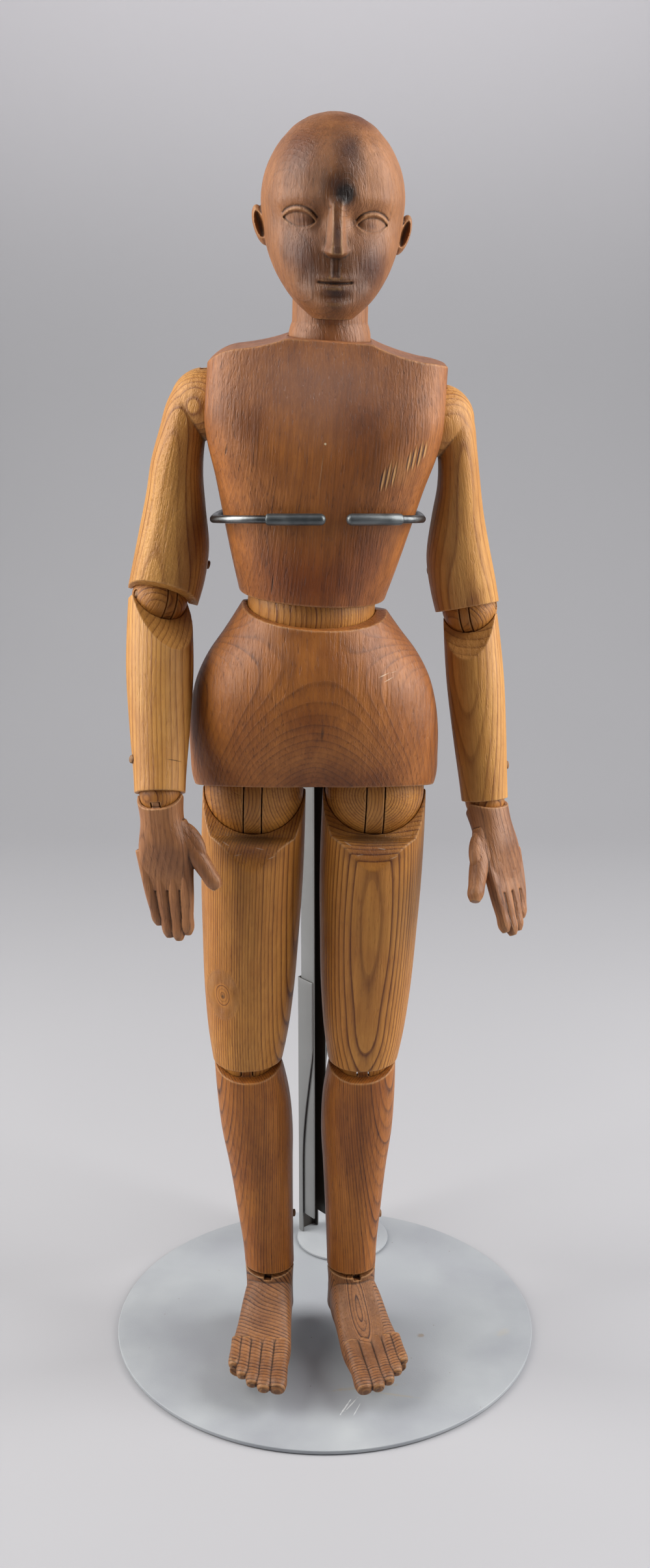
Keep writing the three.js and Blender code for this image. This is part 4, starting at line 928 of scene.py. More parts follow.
@dataclass(frozen=True)
class BallJoint:
    """A slotted ball on a stem, the tongue on its pin, and the seats for them above and below.

    Attributes:
        radius: the ball's.
        stem: the stem's radius.
        stem_length: from the ball's centre.
        tongue: the strip's thickness.
        hub: half the strip's width round the pin.
        pin: the pin's radius.
        fold: degrees that the lower piece's top slopes on the side that folds.
        other: the same on the far side.
        facing: one where the joint folds forwards, and minus one where it folds backwards.
        tenon: how far the strip goes into the lower piece.
        peg: height of the retaining peg over the ball's centre, or none.
        rise: degrees that the strip reaches up on the folding side.
        blind: whether the slot opens only below.
        round_over: half depth of the lower piece where its top rounds over into its front, or none.
    """

    radius: float
    stem: float
    stem_length: float
    tongue: float
    hub: float
    pin: float
    fold: float
    other: float
    facing: int = 1
    tenon: float = 16
    peg: float = 0.0
    rise: float = 0.0
    blind: bool = False
    round_over: float = 0.0

    RIM_OVER = 0.7
    RIM_UNDER = 0.4
    CREVICE = 0.25
    PEG_RADIUS = 2.7
    PEG_BITE = 1.4
    ROUND_START = 22
    ROUND_DROP = 0.8
    ROUND_END = 60

    def facing_outline(self, outline: Iterable[Flat]) -> list[Flat]:
        """Turns a side outline to the side that this joint folds to."""
        return [(self.facing * y, z) for y, z in outline]

    def slot_outline(self) -> list[Flat]:
        """The slot's side outline: open in front and behind, or with walls that the strip's eye touches.

        Returns:
            The corners in Y and Z.
        """
        far = 3 * self.radius
        if not self.blind:
            ends = polar(self.fold + self.rise + 2, far), polar(178 - self.other, far)
            return [(0, 0), ends[0], (-2 * far, -far), (2 * far, -far), ends[1]]
        walls = []
        for cut in (self.fold + 2, self.other + 2):
            top, along = polar(cut, self.hub + CLEAR), polar(cut - 90, far)
            walls.append([top, (top[0] + along[0], top[1] + along[1])])
        return walls[0] + [(-y, z) for y, z in reversed(walls[1])]

    def ball_mesh(self, name: str, own_pin: bool) -> bpy.types.Mesh:
        """Cuts the ball with its stem, its slot and its pin hole.

        Args:
            name: the mesh's name.
            own_pin: whether the pin is one piece with the ball.

        Returns:
            The mesh.
        """
        start = math.asin(self.stem / self.radius)
        turn = np.linspace(math.pi, start, 40)
        profile = [(self.radius * math.sin(a), self.radius * math.cos(a)) for a in turn]
        profile += [(self.stem, self.stem_length), (0, self.stem_length)]
        wide = self.tongue + 2 * (CLEAR + self.CREVICE)
        steps = [(Cut.TAKE, prism(self.facing_outline(self.slot_outline()), wide))]
        steps.append((Cut.TAKE, rod_x(self.hub + CLEAR, -wide / 2, wide / 2)))
        reach = self.radius * (0.96 if own_pin else 1.2)
        pin = rod_x(self.pin if own_pin else self.pin + CLEAR, -reach, reach)
        steps.append((Cut.ADD if own_pin else Cut.TAKE, pin))
        return stamp(name, lathe(profile, 72), steps, carved(min(0.5, self.radius / 50), 2, 0.45))

    def strip(self) -> Blank:
        """The strip in the slot, flush with the ball where the slot is open, with its tenon.

        Returns:
            The strip, without its pin hole.
        """
        outer = self.radius - 0.5
        lowest = -self.radius - self.tenon
        turn = math.degrees(math.acos(self.hub / outer))
        flush = self.rise != 0 or not self.blind
        front = arc(self.rise, -turn, outer, 24) if flush else []
        behind = arc(180 + turn, 180 - min(self.rise, 0), outer, 24) if flush else []
        outline = front + [(-self.hub, lowest), (self.hub, lowest)] + behind + arc(180, 0, self.hub, 24)
        return prism(self.facing_outline(outline), self.tongue - 2 * self.CREVICE)

    def strip_mesh(self, name: str) -> bpy.types.Mesh:
        """Cuts a separate strip."""
        return stamp(name, self.strip(), [(Cut.TAKE, self.pin_hole())], carved(0.45, 2, 0.45))

    def seat_tools(self) -> list[Blank]:
        """The ball's seat in the upper piece, and the bore for its stem."""
        return [ball(self.radius + CLEAR, 80), rod(self.stem + CLEAR, 0, self.stem_length + CLEAR)]

    def pin_hole(self) -> Blank:
        """The hole in the strip for the pin."""
        return rod_x(self.pin + CLEAR, -self.radius, self.radius)

    def mortise(self) -> Blank:
        """The hole for a separate strip's tenon."""
        wide, half = self.tongue / 2 + CLEAR, self.hub + CLEAR
        return block((-wide, wide), (-half, half), (-self.radius - self.tenon - CLEAR, 0))

    def upper_cuts(self, tilt: Matrix, peg: Flat | None = None, lift: float = 0) -> list[Step]:
        """What comes out of the piece above the ball.

        Args:
            tilt: the ball's place in that piece, in millimetres.
            peg: where the peg's hole starts and ends along X, if there is one.
            lift: degrees that the piece's rim climbs on the folding side.

        Returns:
            The cuts.
        """
        tools = self.seat_tools()
        under = self.facing_outline([(0, 0), polar(lift, FAR), (-FAR, -FAR), (FAR, -FAR), (FAR, 0)])
        tools.append(prism(under, 2 * FAR).at(0, 0, self.RIM_OVER))
        if peg:
            depth = self.stem + self.PEG_RADIUS - self.PEG_BITE
            tools.append(rod_x(self.PEG_RADIUS + CLEAR, min(peg), max(peg), depth, self.peg))
        return [(Cut.TAKE, tool.moved(tilt)) for tool in tools]

    def lower_cuts(self, wide: float = 2 * FAR) -> list[Step]:
        """What comes out of the piece under the ball: the slopes that let it fold, and the ball's seat.

        Args:
            wide: how wide the slopes are cut.

        Returns:
            The cuts.
        """
        slope = [polar(-self.fold, FAR)]
        if self.round_over:
            fall = math.tan(math.radians(self.fold))
            start = -self.ROUND_START, -self.ROUND_START * fall
            corner = -self.round_over - 1, start[1] - self.ROUND_DROP
            end = -self.round_over - 1, -self.ROUND_END
            slope = [*map(tuple, curve_points((start, corner, end), 24)), (-FAR, -self.ROUND_END)]
        roof = [(0, 0), *slope, (-FAR, FAR), (FAR, FAR), polar(180 + self.other, FAR)]
        slopes = prism(self.facing_outline(roof), wide).at(0, 0, -self.RIM_UNDER)
        return [(Cut.TAKE, slopes), (Cut.TAKE, ball(self.radius + CLEAR, 80))]


WAIST = BallJoint(41, 12, 66, 14, 14, 4, 9, 9, blind=True)
HIP = BallJoint(32.8, 9, 62, 11.4, 12, 4, 51, 12, tenon=26, rise=20, round_over=37.5)
KNEE = BallJoint(19.2, 7.5, 70, 7.4, 8.06, 3, 62, 18, facing=-1, peg=58)
ANKLE = BallJoint(13.2, 5.5, 46, 5.6, 5.54, 2.2, 7, 22, tenon=8, peg=36)
ELBOW = BallJoint(18, 6, 38, 6.4, 7.56, 2.8, 60, 4, tenon=22, peg=27, rise=8)
WRIST = BallJoint(13, 5, 32, 5.4, 5.46, 2, 30, 30, tenon=8, peg=22, rise=-14, blind=True)


@dataclass
class Pegs:
    """The whittled pegs and pins that hold the joints: dark beech, a little domed, never quite round."""

    skeleton: Skeleton
    grain: Grain = Grain(pith=(0, 9), ring=1.4, wander=0.6, chatter=0.3)

    def build(self, node: str, seat: Matrix, body: str, along: int = 0, proud: float = 0.0) -> None:
        """Whittles one peg where its node lies.

        Args:
            node: the peg's node.
            seat: the frame that the peg lies square in.
            body: the body that it rides on.
            along: the axis of that frame that the peg runs along.
            proud: how much further its end stands out, to the side that the sign says.
        """
        low, high = self.skeleton.reach(node, seat)
        low[along] += min(proud, 0)
        high[along] += max(proud, 0)
        across = [i for i in range(3) if i != along]
        radius = (high - low)[across].max() / 2
        middle = (low + high) / 2
        half = (high - low)[along] / 2
        crown = radius * 0.35
        profile = [(0, -half), (radius * 0.6, -half + crown * 0.2), (radius * 0.92, -half + crown * 0.6)]
        profile.append((radius, -half + crown))
        profile += [(r, -z) for r, z in reversed(profile)]
        made = lathe(profile, 28)
        made = made.turned(90, "Y") if along == 0 else made.turned(90, "X")
        mesh = made.at(*middle).mesh(node)
        look = PEG_BEECH.material(node, self.grain)
        place(node + "_whittled", mesh, seat, body, look, PEG_BEECH.slot, node)


# The figure


@dataclass
class Torso:
    """The chest: a flat-fronted block that narrows to the waist, with seats for arms, neck and waist ball."""

    skeleton: Skeleton
    rim: float = 7
    top: float = 166
    waist: float = 92
    chest: float = 150
    waist_depth: float = 90
    chest_depth: float = 91
    top_depth: float = 64
    collar: float = 52
    shoulder_edge: dict[Side, float] = field(default_factory=lambda: {Side.RIGHT: 149.0, Side.LEFT: 136.0})
    shoulder_bow: dict[Side, Flat] = field(
        default_factory=lambda: {Side.RIGHT: (3.0, 1.0), Side.LEFT: (9.0, 3.0)}
    )
    slope_top: float = 157.5
    shoulder_height: float = 120.5
    shoulder_y: float = 6
    shoulder_x: dict[Side, float] = field(default_factory=lambda: {Side.RIGHT: 74.0, Side.LEFT: 71.5})
    shoulder_ball: float = 22.5
    flank_seat: float = 73.2
    flank_radius: float = 47
    neck_ball: float = 25.5
    shoulder_stub: float = 8
    neck_stub: float = 8.5
    stub_length: float = 24

    @property
    def stations(self) -> list[Row]:
        """The chest's sections over the waist ball's centre.

        Returns:
            The rows that loft takes.
        """
        waist, chest, wide, deep = self.waist / 2, self.chest / 2, self.waist_depth / 2, self.chest_depth / 2
        top = self.top_depth / 2
        return [
            (0, waist - 1.5, wide, wide, 0, 2.05),
            (30, waist + 7, wide + 1, wide, 0, 2.2),
            (55, chest - 15.5, deep + 0.5, deep - 0.5, 0, 2.4),
            (79, chest - 9.5, deep + 1.5, deep - 0.5, 0, 2.7),
            (102, chest - 3, deep + 1.5, deep - 0.5, 0, 3.1),
            (121, chest, deep, deep - 1, 0, 3.4),
            (144, chest - 0.5, top + 8, top + 8, 0, 3.4),
            (self.top + 6, chest - 1, top, top, 0, 3.2),
        ]

    def outline(self) -> list[Flat]:
        """The chest's front outline in X and Z, up to the collar.

        Returns:
            The corners, in order.
        """
        edge, slope, collar = self.chest / 2 + 6, self.chest / 2 - 18, self.collar / 2
        points: list[Flat] = [(-edge, -self.rim), (edge, -self.rim)]
        for side in (Side.LEFT, Side.RIGHT):
            start, low = self.shoulder_edge[side], self.slope_top
            inset, drop = self.shoulder_bow[side]
            bow = [(edge, start), (edge - inset, low - drop), (slope, low)]
            dip = [(slope, low), (collar + 12, low + 3), (collar, self.top)]
            half = [tuple(point) for run in (bow, dip) for point in curve_points(run, 14)]
            points += half if side is Side.LEFT else [(-x, z) for x, z in reversed(half)]
        return points

    def build(self) -> None:
        """Cuts the chest, dresses it and puts it in place."""
        seat = self.skeleton.seat("waist_bend", "waist_twist")
        front = prism([(-x, z) for x, z in self.outline()], FAR).turned(-90, "Z")
        steps = [(Cut.KEEP, front)]
        for side in Side:
            sign, away = side.value, self.shoulder_x[side]
            deep = away - self.shoulder_ball - self.stub_length - CLEAR
            bore = sorted((sign * deep, sign * away))
            flank = sorted((sign * self.flank_seat, sign * FAR))
            at = self.shoulder_y, self.shoulder_height
            tools = [ball(self.shoulder_ball + CLEAR).at(sign * away, *at)]
            tools.append(rod_x(self.shoulder_stub + CLEAR, *bore, *at))
            tools.append(rod_x(self.flank_radius, *flank, *at, 96))
            steps += [(Cut.TAKE, tool) for tool in tools]
        lean = local(seat, self.skeleton.seat("neck_nod", "neck_turn"))
        deep = -self.neck_ball - self.stub_length - CLEAR
        tools = [ball(self.neck_ball + CLEAR), rod(self.neck_stub + CLEAR, deep, 0)]
        steps += [(Cut.TAKE, tool.moved(lean)) for tool in tools]
        steps += [(Cut.TAKE, block((-FAR, FAR), (-FAR, FAR), (-FAR, self.rim)))]
        steps += WAIST.upper_cuts(Matrix.Identity(4))
        mesh = stamp("chest", loft(self.stations, 120, 90), steps, carved(0.75, 2, 0.35))
        self.swell(mesh)
        look = CHEST_PINE.material("chest", self.grain())
        place("chest", mesh, seat, "torso", look, CHEST_PINE.slot, "torso")

    def swell(self, mesh: bpy.types.Mesh) -> None:
        """Raises the two breast muscles a little off the flat front.

        Args:
            mesh: the chest's mesh.
        """
        for vertex in mesh.vertices:
            x, y, z = vertex.co / MM
            if y < -18:
                lift = 1.6 * math.exp(-(((abs(x) - 34) / 24) ** 2) - ((z - 96) / 20) ** 2)
                lift -= 0.9 * math.exp(-((x / 9) ** 2) - ((z - 100) / 30) ** 2)
                vertex.co.y -= lift * MM * min(1.0, (-18 - y) / 12)

    def grain(self) -> Grain:
        """Straight quarter-sawn grain, darkened across the shoulders, with old gouges in the left breast.

        Returns:
            The chest's grain, with its marks.
        """
        gouge, crack_and_shadow = Tone.GOUGE.value, Tone.CRACK.value
        marks = [
            # A grey-purple veil over the shoulders: old finish, and painted sheen of the light from above.
            Mark((-4, -40, 140), (84, 60, 46), "#8f6c5e", 0.6, soft=1.0),
            stain((-46, -44, 112), (18, 20, 22), Tone.PURPLE.value, 0.5),
            stain((24, -44, 116), (26, 20, 36), Tone.PURPLE.value, 0.6),
            stain((4, -44, 84), (24, 20, 28), Tone.PURPLE.value, 0.35, 12),
            stain((-6, -45, 20), (80, 30, 48), Tone.BROWN.value, 0.8),
            stain((34, -45, 40), (30, 20, 34), Tone.BROWN.value, 0.5),
        ]
        # Each gouge is a pale cut with a line of painted shadow beside it on its shaded wall, in the crack
        # colour.
        cuts = ((38, 88, 9), (41, 90, 11), (44.5, 91, 9), (53, 99, 8))
        cuts += ((56, 101, 10), (59.5, 103, 11), (62.5, 106, 7))
        for x, z, tall in cuts:
            marks.append(Mark((x, -46, z), (0.9, 28, tall), gouge, 0.75, 7, 0.5, 0.5))
            marks.append(Mark((x - 1.4, -46, z - 0.5), (0.7, 28, tall * 0.9), crack_and_shadow, 0.9, 7, 0.5, 0.2))
        marks += [
            Mark((50, -46, 92), (15, 14, 15), "#b98550", 0.35, 10, 1.0),
            Mark((-58, -46, 98), (0.9, 16, 5.5), crack_and_shadow, 0.95, 8, 0.6, 0.6),
            Mark((-60, -46, 84), (0.6, 16, 8), crack_and_shadow, 0.6, 3, 0.6, 0.2),
            Mark((-25, -46, 18), (0.6, 16, 9), crack_and_shadow, 0.8, 4, 0.6, 0.3),
            Mark((1.5, -48, 107), (0.9, 12, 0.9), "#d8c6a4", 1.0, soft=0.5),
            Mark((0, -48, 88), (0.5, 12, 18), "#a9825d", 0.45, 4, 0.6),
        ]
        return Grain((150, 40), (0, 1), 1.7, 2.0, 1.3, tuple(marks), chatter=0.3)


@dataclass
class WaistBall:
    """The turned drum between chest and hips, with its pin."""

    skeleton: Skeleton

    def build(self) -> None:
        """Cuts the drum and its pin."""
        seat = self.skeleton.seat("waist_bend", "waist_twist")
        mesh = WAIST.ball_mesh("waist_drum", False)
        look = BALL_PINE.material("waist_drum", Grain((70, 30), (4, 0), 2.2, 2.0, 2.1))
        place("waist_drum", mesh, seat, "waist", look, BALL_PINE.slot, "waist_ball")
        Pegs(self.skeleton).build("waist_pin", seat, "waist")


@dataclass
class Pelvis:
    """The hips: a swelling block with a bowl for the waist ball, and seats under it for the hip balls."""

    skeleton: Skeleton
    length: float = 120.5
    width: float = 162.6
    front: float = 55
    back: float = 61
    rim: float = 44.5
    hip_x: float = 1.8
    front_rise: float = 14
    back_rise: float = 4

    @property
    def stations(self) -> list[Row]:
        """The hips' sections under the waist ball's centre.

        Returns:
            The rows that loft takes.
        """
        half, low, f, b = self.width / 2, -self.length, self.front, self.back
        return [
            (3, self.rim - 1, self.rim - 1, self.rim - 1, 0, 2),
            (-17, half - 24.5, f - 7.5, b - 11, 0.5, 2),
            (-32, half - 13.8, f - 3.5, b - 6, 0.8, 2.05),
            (-47, half - 6.3, f - 1, b - 2, 1, 2.1),
            (-64, half - 1.8, f, b, 1.2, 2.1),
            (-80, half, f - 1, b, 1.4, 2.15),
            (-98, half, f - 4, b - 3, 1.6, 2.2),
            (low + 5, half - 1.4, f - 8, b - 8, self.hip_x, 2.3),
            (low, half - 3, f - 10, b - 11, self.hip_x, 2.3),
        ]

    def build(self) -> None:
        """Cuts the hips, dresses them and puts them in place."""
        rolled = self.skeleton.seat("waist_bend", "waist_twist")
        seat = Matrix.Translation(rolled.translation)
        roll = (seat.inverted() @ rolled).to_3x3().to_4x4()
        steps = [(cut, tool.moved(roll)) for cut, tool in WAIST.lower_cuts()]
        steps.append((Cut.ADD, WAIST.strip().moved(roll)))
        steps.append((Cut.TAKE, WAIST.pin_hole().moved(roll)))
        under = [(0, 0), polar(self.front_rise, FAR), (-FAR, -FAR), (FAR, -FAR)]
        under.append(polar(180 - self.back_rise, FAR))
        steps.append((Cut.TAKE, prism(under, 2 * FAR).at(0, 0, -self.length)))
        for side in Side:
            tilt = local(seat, self.skeleton.seat(side.label + "hip_bend", side.label + "hip_twist"))
            steps += [(Cut.TAKE, tool.moved(tilt)) for tool in HIP.seat_tools()]
        mesh = stamp("hips", loft(self.stations, 120, 90), steps, carved(0.75, 2, 0.35))
        self.hollow(mesh)
        place("hips", mesh, seat, "pelvis", HIP_PINE.material("hips", self.grain()), HIP_PINE.slot, "pelvis")

    def hollow(self, mesh: bpy.types.Mesh) -> None:
        """Sinks the shallow valley between the thighs and over the belly.

        Args:
            mesh: the hips' mesh.
        """
        for vertex in mesh.vertices:
            x, y, z = vertex.co / MM
            if y < -20:
                sink = 1.8 * math.exp(-(((x - 2) / 13) ** 2) - ((z + 112) / 26) ** 2)
                vertex.co.y += sink * MM * min(1.0, (-20 - y) / 12)

    def grain(self) -> Grain:
        """Flat-sawn grain that shows as nested arches on the belly, with old scratches.

        Returns:
            The hips' grain, with its marks.
        """
        marks = [
            stain((-36, -46, -70), (26, 30, 40), Tone.PURPLE.value, 0.4),
            stain((20, -50, -108), (70, 30, 24), Tone.PURPLE.value, 0.7),
            stain((0, -55, -66), (26, 20, 26), Tone.BROWN.value, 0.5),
            Mark((7, -56, -72), (1.4, 12, 7), Tone.CRACK.value, 0.6, 6, 0.7, 0.3),
        ]
        for x, z, turn in ((46, -37, 74), (49, -40, 70), (53, -36, 80)):
            marks.append(Mark((x, -46, z), (0.5, 14, 5), "#cdb497", 0.8, turn, 0.6))
        return Grain((4, 25), (-16, 1), 1.8, 0.8, 3.7, tuple(marks), chatter=0.25)


@dataclass
class Head:
    """The head and neck in one piece: an egg with a plain carved face, blank eyes and small ears."""

    skeleton: Skeleton
    neck_ball: float = 25.5
    neck: float = 23.3
    chin: float = 14
    top: float = 132
    width: float = 87
    front: float = 47
    back: float = 56
    ear_height: float = 64.5
    ear_out: float = 46.5
    eye_height: float = 69
    eye_spacing: float = 43
    nose_base: float = 50.5
    nose_bridge: float = 77
    nose_proud: float = 8.4
    eye_tilt: float = 0.05
    mouth_height: float = 34.8
    mouth_half: float = 11.4
    slot_half: float = 5.3
    slot_round: float = 8.8
    slot_spread: float = 23
    pin_hole: float = 3.3

    @property
    def stations(self) -> list[Row]:
        """The skull's sections over the neck ball's centre.

        Returns:
            The rows that loft takes.
        """
        half, f, b = self.width / 2, self.front, self.back
        return [
            (self.chin, 12, f - 6, -14),
            (self.chin + 8, 21.5, f - 1, 2),
            (36.5, half - 11, f, 26),
            (48, half - 5.6, f, b - 14),
            (69, half - 1, f - 0.5, b - 3),
            (86, half, f + 1, b),
            (104, half - 4.6, f - 2, b - 3),
            (self.top - 14, half - 13.6, f - 12, b - 14),
            (self.top - 5, half - 24, f - 25.5, b - 29),
            (self.top - 1.6, 12, 13, 17),
            (self.top, 5, 5, 8),
        ]

    def relief(self, x: np.ndarray, z: np.ndarray) -> np.ndarray:
        """How far the face stands out from the egg.

        Args:
            x: places across the face.
            z: heights.

        Returns:
            The relief in millimetres.
        """
        away = np.abs(x)

        def mound(u: np.ndarray, cu: float, cz: float, ru: float, rz: float) -> np.ndarray:
            """A soft bump of height one."""
            return np.exp(-(((u - cu) / ru) ** 2) - ((z - cz) / rz) ** 2)

        def step(value: np.ndarray, low: float, high: float) -> np.ndarray:
            """A smooth step from nought to one."""
            t = np.clip((value - low) / (high - low), 0, 1)
            return t * t * (3 - 2 * t)

        eye, mouth = self.eye_spacing / 2, self.mouth_height
        level = self.eye_height - self.eye_tilt * x
        lift = 1.1 * mound(away, 22, self.eye_height + 13, 19, 5.5)
        lift -= 3.4 * mound(away, eye - 1, self.eye_height, 14, 8.5)
        lift -= 2.8 * mound(away, 9.5, self.eye_height + 1, 4.5, 8)
        # The nose is a wedge with a flat ridge and a round tip.
        base, bridge = self.nose_base, self.nose_bridge
        rise = np.interp(z, [base, base + 5, bridge, bridge + 7], [1.0, 1.0, 0.36, 0.0])
        foot = np.interp(z, [base, base + 10, bridge, bridge + 6], [7.8, 6.5, 5.2, 8.0])
        wedge = step((foot - away) / (foot - 2.2), 0, 1)
        tip = self.nose_base + 0.04 * away**2
        under = step(z, tip - 2.0, tip + 1.0)
        lift += self.nose_proud * rise * wedge * under
        lift += 1.8 * mound(away, 5.2, self.nose_base + 3.2, 2.6, 2.8) * under
        # Almond eyes: a blank ball sunk behind an upper and a lower lid.
        u = np.clip((away - eye) / 9.6, -1, 1)
        open_up, open_low = 4.9 * (1 - u**2) ** 0.75, 4.3 * (1 - u**2) ** 0.85
        middle = level + 0.6 * u
        over, below = z - middle - open_up, middle - open_low - z
        gap = np.maximum(over, below)
        within = (np.abs(away - eye) < 9.6).astype(float)
        sunk = step(-gap, -0.2, 1.0) * within
        lift += sunk * (-1.9 + 2.5 * (1 - u**2) * np.clip(1 - ((z - middle) / 6.2) ** 2, 0, 1))
        lift += 0.8 * np.exp(-(((over - 0.9) / 1.0) ** 2)) * within * step(1 - np.abs(u), 0, 0.3)
        lift -= 0.9 * np.exp(-(((over - 3.0) / 0.8) ** 2)) * step(11.5 - np.abs(away - eye), 0, 2.5)
        lift += 0.2 * np.exp(-(((below - 0.9) / 1.0) ** 2)) * within * step(1 - np.abs(u), 0, 0.3)
        # A groove under the nose, a thin straight mouth and a rounded chin.
        groove = step(z, mouth + 2.2, mouth + 4) * step(self.nose_base + 0.5 - z, 0, 1.5)
        lift -= 1.1 * groove * step(3.6 - away, 0, 2.4)
        line = mouth + 0.7 * (x / self.mouth_half) ** 2
        wide = step(self.mouth_half - away, 0, 2.5)
        lift -= 1.3 * np.exp(-(((z - line) / 0.7) ** 2)) * wide
        lift += 1.3 * mound(x, 0, mouth + 3, 9.5, 2.3) + 1.5 * mound(x, 0, mouth - 3, 8, 2.4)
        lift -= 1.3 * mound(x, 0, mouth - 8.2, 9, 2.8)
        lift += 2.0 * mound(x, 0, self.chin + 8, 10, 5.5)
        return lift + 1.2 * mound(away, 25, 50, 12, 11) - 0.8 * mound(away, 17, 38, 5, 7)

    def ear(self, sign: int) -> tuple[Blank, Blank]:
        """One ear and the hollow in it.

        Args:
            sign: the side of X that it is on.

        Returns:
            The ear, and what comes out of it.
        """
        leaf = ball(1, 40).scaled(4.8, 8.2, 12.4).turned(sign * 17, "Y")
        shell = ball(1, 32).scaled(2.7, 6.2, 8.6).turned(sign * 17, "Y")
        x, z = sign * (self.ear_out - 3.4), self.ear_height - sign * 36 * self.eye_tilt
        return leaf.at(x, 7, z), shell.at(x + sign * 1.3, -0.6, z + 0.8)

    def build(self) -> None:
        """Carves the head, dresses it and puts it in place."""
        seat = self.skeleton.seat("neck_nod", "neck_turn")
        stalk = [(2, self.neck, self.neck, self.neck), (20, self.neck, self.neck, self.neck + 1)]
        stalk.append((48, self.neck, self.neck, self.neck + 8))
        steps = [(Cut.ADD, loft(stalk, 64, 24)), (Cut.ADD, ball(self.neck_ball))]
        for sign in (-1, 1):
            leaf, shell = self.ear(sign)
            steps += [(Cut.ADD, leaf), (Cut.TAKE, shell)]
        top, low = self.slot_round, -self.neck_ball - 2
        spread = top + math.tan(math.radians(self.slot_spread)) * self.neck_ball
        slot = prism([(-top, 0), (-spread, low), (spread, low), (top, 0)], 2 * self.slot_half)
        rods = rod_x(top, -self.slot_half, self.slot_half), rod_x(self.pin_hole, -FAR, FAR)
        steps += [(Cut.TAKE, tool) for tool in (slot, *rods)]
        rough = stamp("head", loft(self.stations, 120, 110), steps, carved(0.5, 5, 1))
        points, normals = read_points(rough)
        facing = np.clip((-normals[:, 1] - 0.1) / 0.4, 0, 1)
        facing *= (points[:, 1] < -8) * (points[:, 2] > self.chin - 2)
        points[:, 1] -= facing * self.relief(points[:, 0], points[:, 2])
        egg = Blank(points, [tuple(face.vertices) for face in rough.polygons])
        bpy.data.meshes.remove(rough)
        mesh = stamp("head", egg, [], [("DECIMATE", {"ratio": 0.5})])
        look = HEAD_PINE.material("head", self.grain())
        place("head_and_neck", mesh, seat, "head", look, HEAD_PINE.slot, "head")
        Pegs(self.skeleton).build("neck_pin", seat, "head")

    def grain(self) -> Grain:
        """A large dark knot on the brow, a dark streak down from the crown, and darkened cheeks.

        Returns:
            The head's grain, with its marks.
        """
        purple, brown = Tone.PURPLE.value, Tone.BROWN.value
        marks = (
            stain((0, -44, 38), (52, 38, 38), "#aea6a2", 0.95),
            stain((-22, -30, 108), (24, 40, 28), "#a89090", 0.9, 24),
            stain((0, -46, 88), (18, 18, 19), "#5c403a", 0.95),
            stain((6, -40, 108), (14, 30, 24), "#7c6460", 0.95, -6),
            stain((14, -10, 128), (24, 34, 12), purple, 0.9, -14),
            stain((0, -52, 62), (4.2, 16, 18), "#745850", 0.9),
            stain((0, -48, 30), (13, 14, 14), "#86685a", 0.95),
            stain((-20, -40, 50), (19, 22, 20), "#ac8c7e", 0.9),
            stain((22, -40, 44), (18, 22, 20), "#ac8c7e", 0.85),
            stain((-21.5, -42, 70), (9, 12, 4.6), "#94705a", 0.9),
            stain((21.5, -42, 68), (9, 12, 4.6), "#94705a", 0.9),
            stain((-12, -36, 40), (10, 16, 14), brown, 0.5),
            Mark((4.6, -47, 85), (8.4, 10, 8.4), Tone.KNOT.value, 0.98, soft=0.6),
        )
        knots = (Knot((4.8, -47, 84.5), (0.1, 1, 0.1), 26, 1.9),)
        return Grain((80, 60), (3, -4), 1.9, 3.0, 5.2, marks, knots, 0.2)


@dataclass
class Limb:
    """What arms and legs share: a side of the figure, and how its pieces are named and put in place."""

    skeleton: Skeleton
    side: Side

    def seat(self, pin: str, stem: str) -> Matrix:
        """Places a piece of this side on its pin."""
        return self.skeleton.seat(self.side.label + pin, self.side.label + stem)

    def look(self, timber: Timber, piece: str, grain: Grain) -> tuple[Timber, bpy.types.Material]:
        """Makes a piece's material, and gives it back with its timber."""
        return timber, timber.material(self.side.label + piece, grain)

    def put(
        self,
        name: str,
        mesh: bpy.types.Mesh,
        seat: Matrix,
        body: str,
        look: tuple[Timber, bpy.types.Material],
        node: str = "",
    ) -> None:
        """Puts a piece of this side in place.

        Args:
            name: the piece's name, like the others here without its side.
            mesh: its mesh, in its own frame.
            seat: that frame.
            body: the body that it rides on.
            look: its timber and material.
            node: the node that it stands for, if that isn't named as the body is.
        """
        label, (timber, material) = self.side.label, look
        place(label + name, mesh, seat, label + body, material, timber.slot, label + (node or body))

    def peg(self, node: str, seat: Matrix, body: str, along: int = 0, proud: float = 0.0) -> None:
        """Whittles a peg of this side."""
        label = self.side.label
        Pegs(self.skeleton).build(label + node, seat, label + body, along, proud)


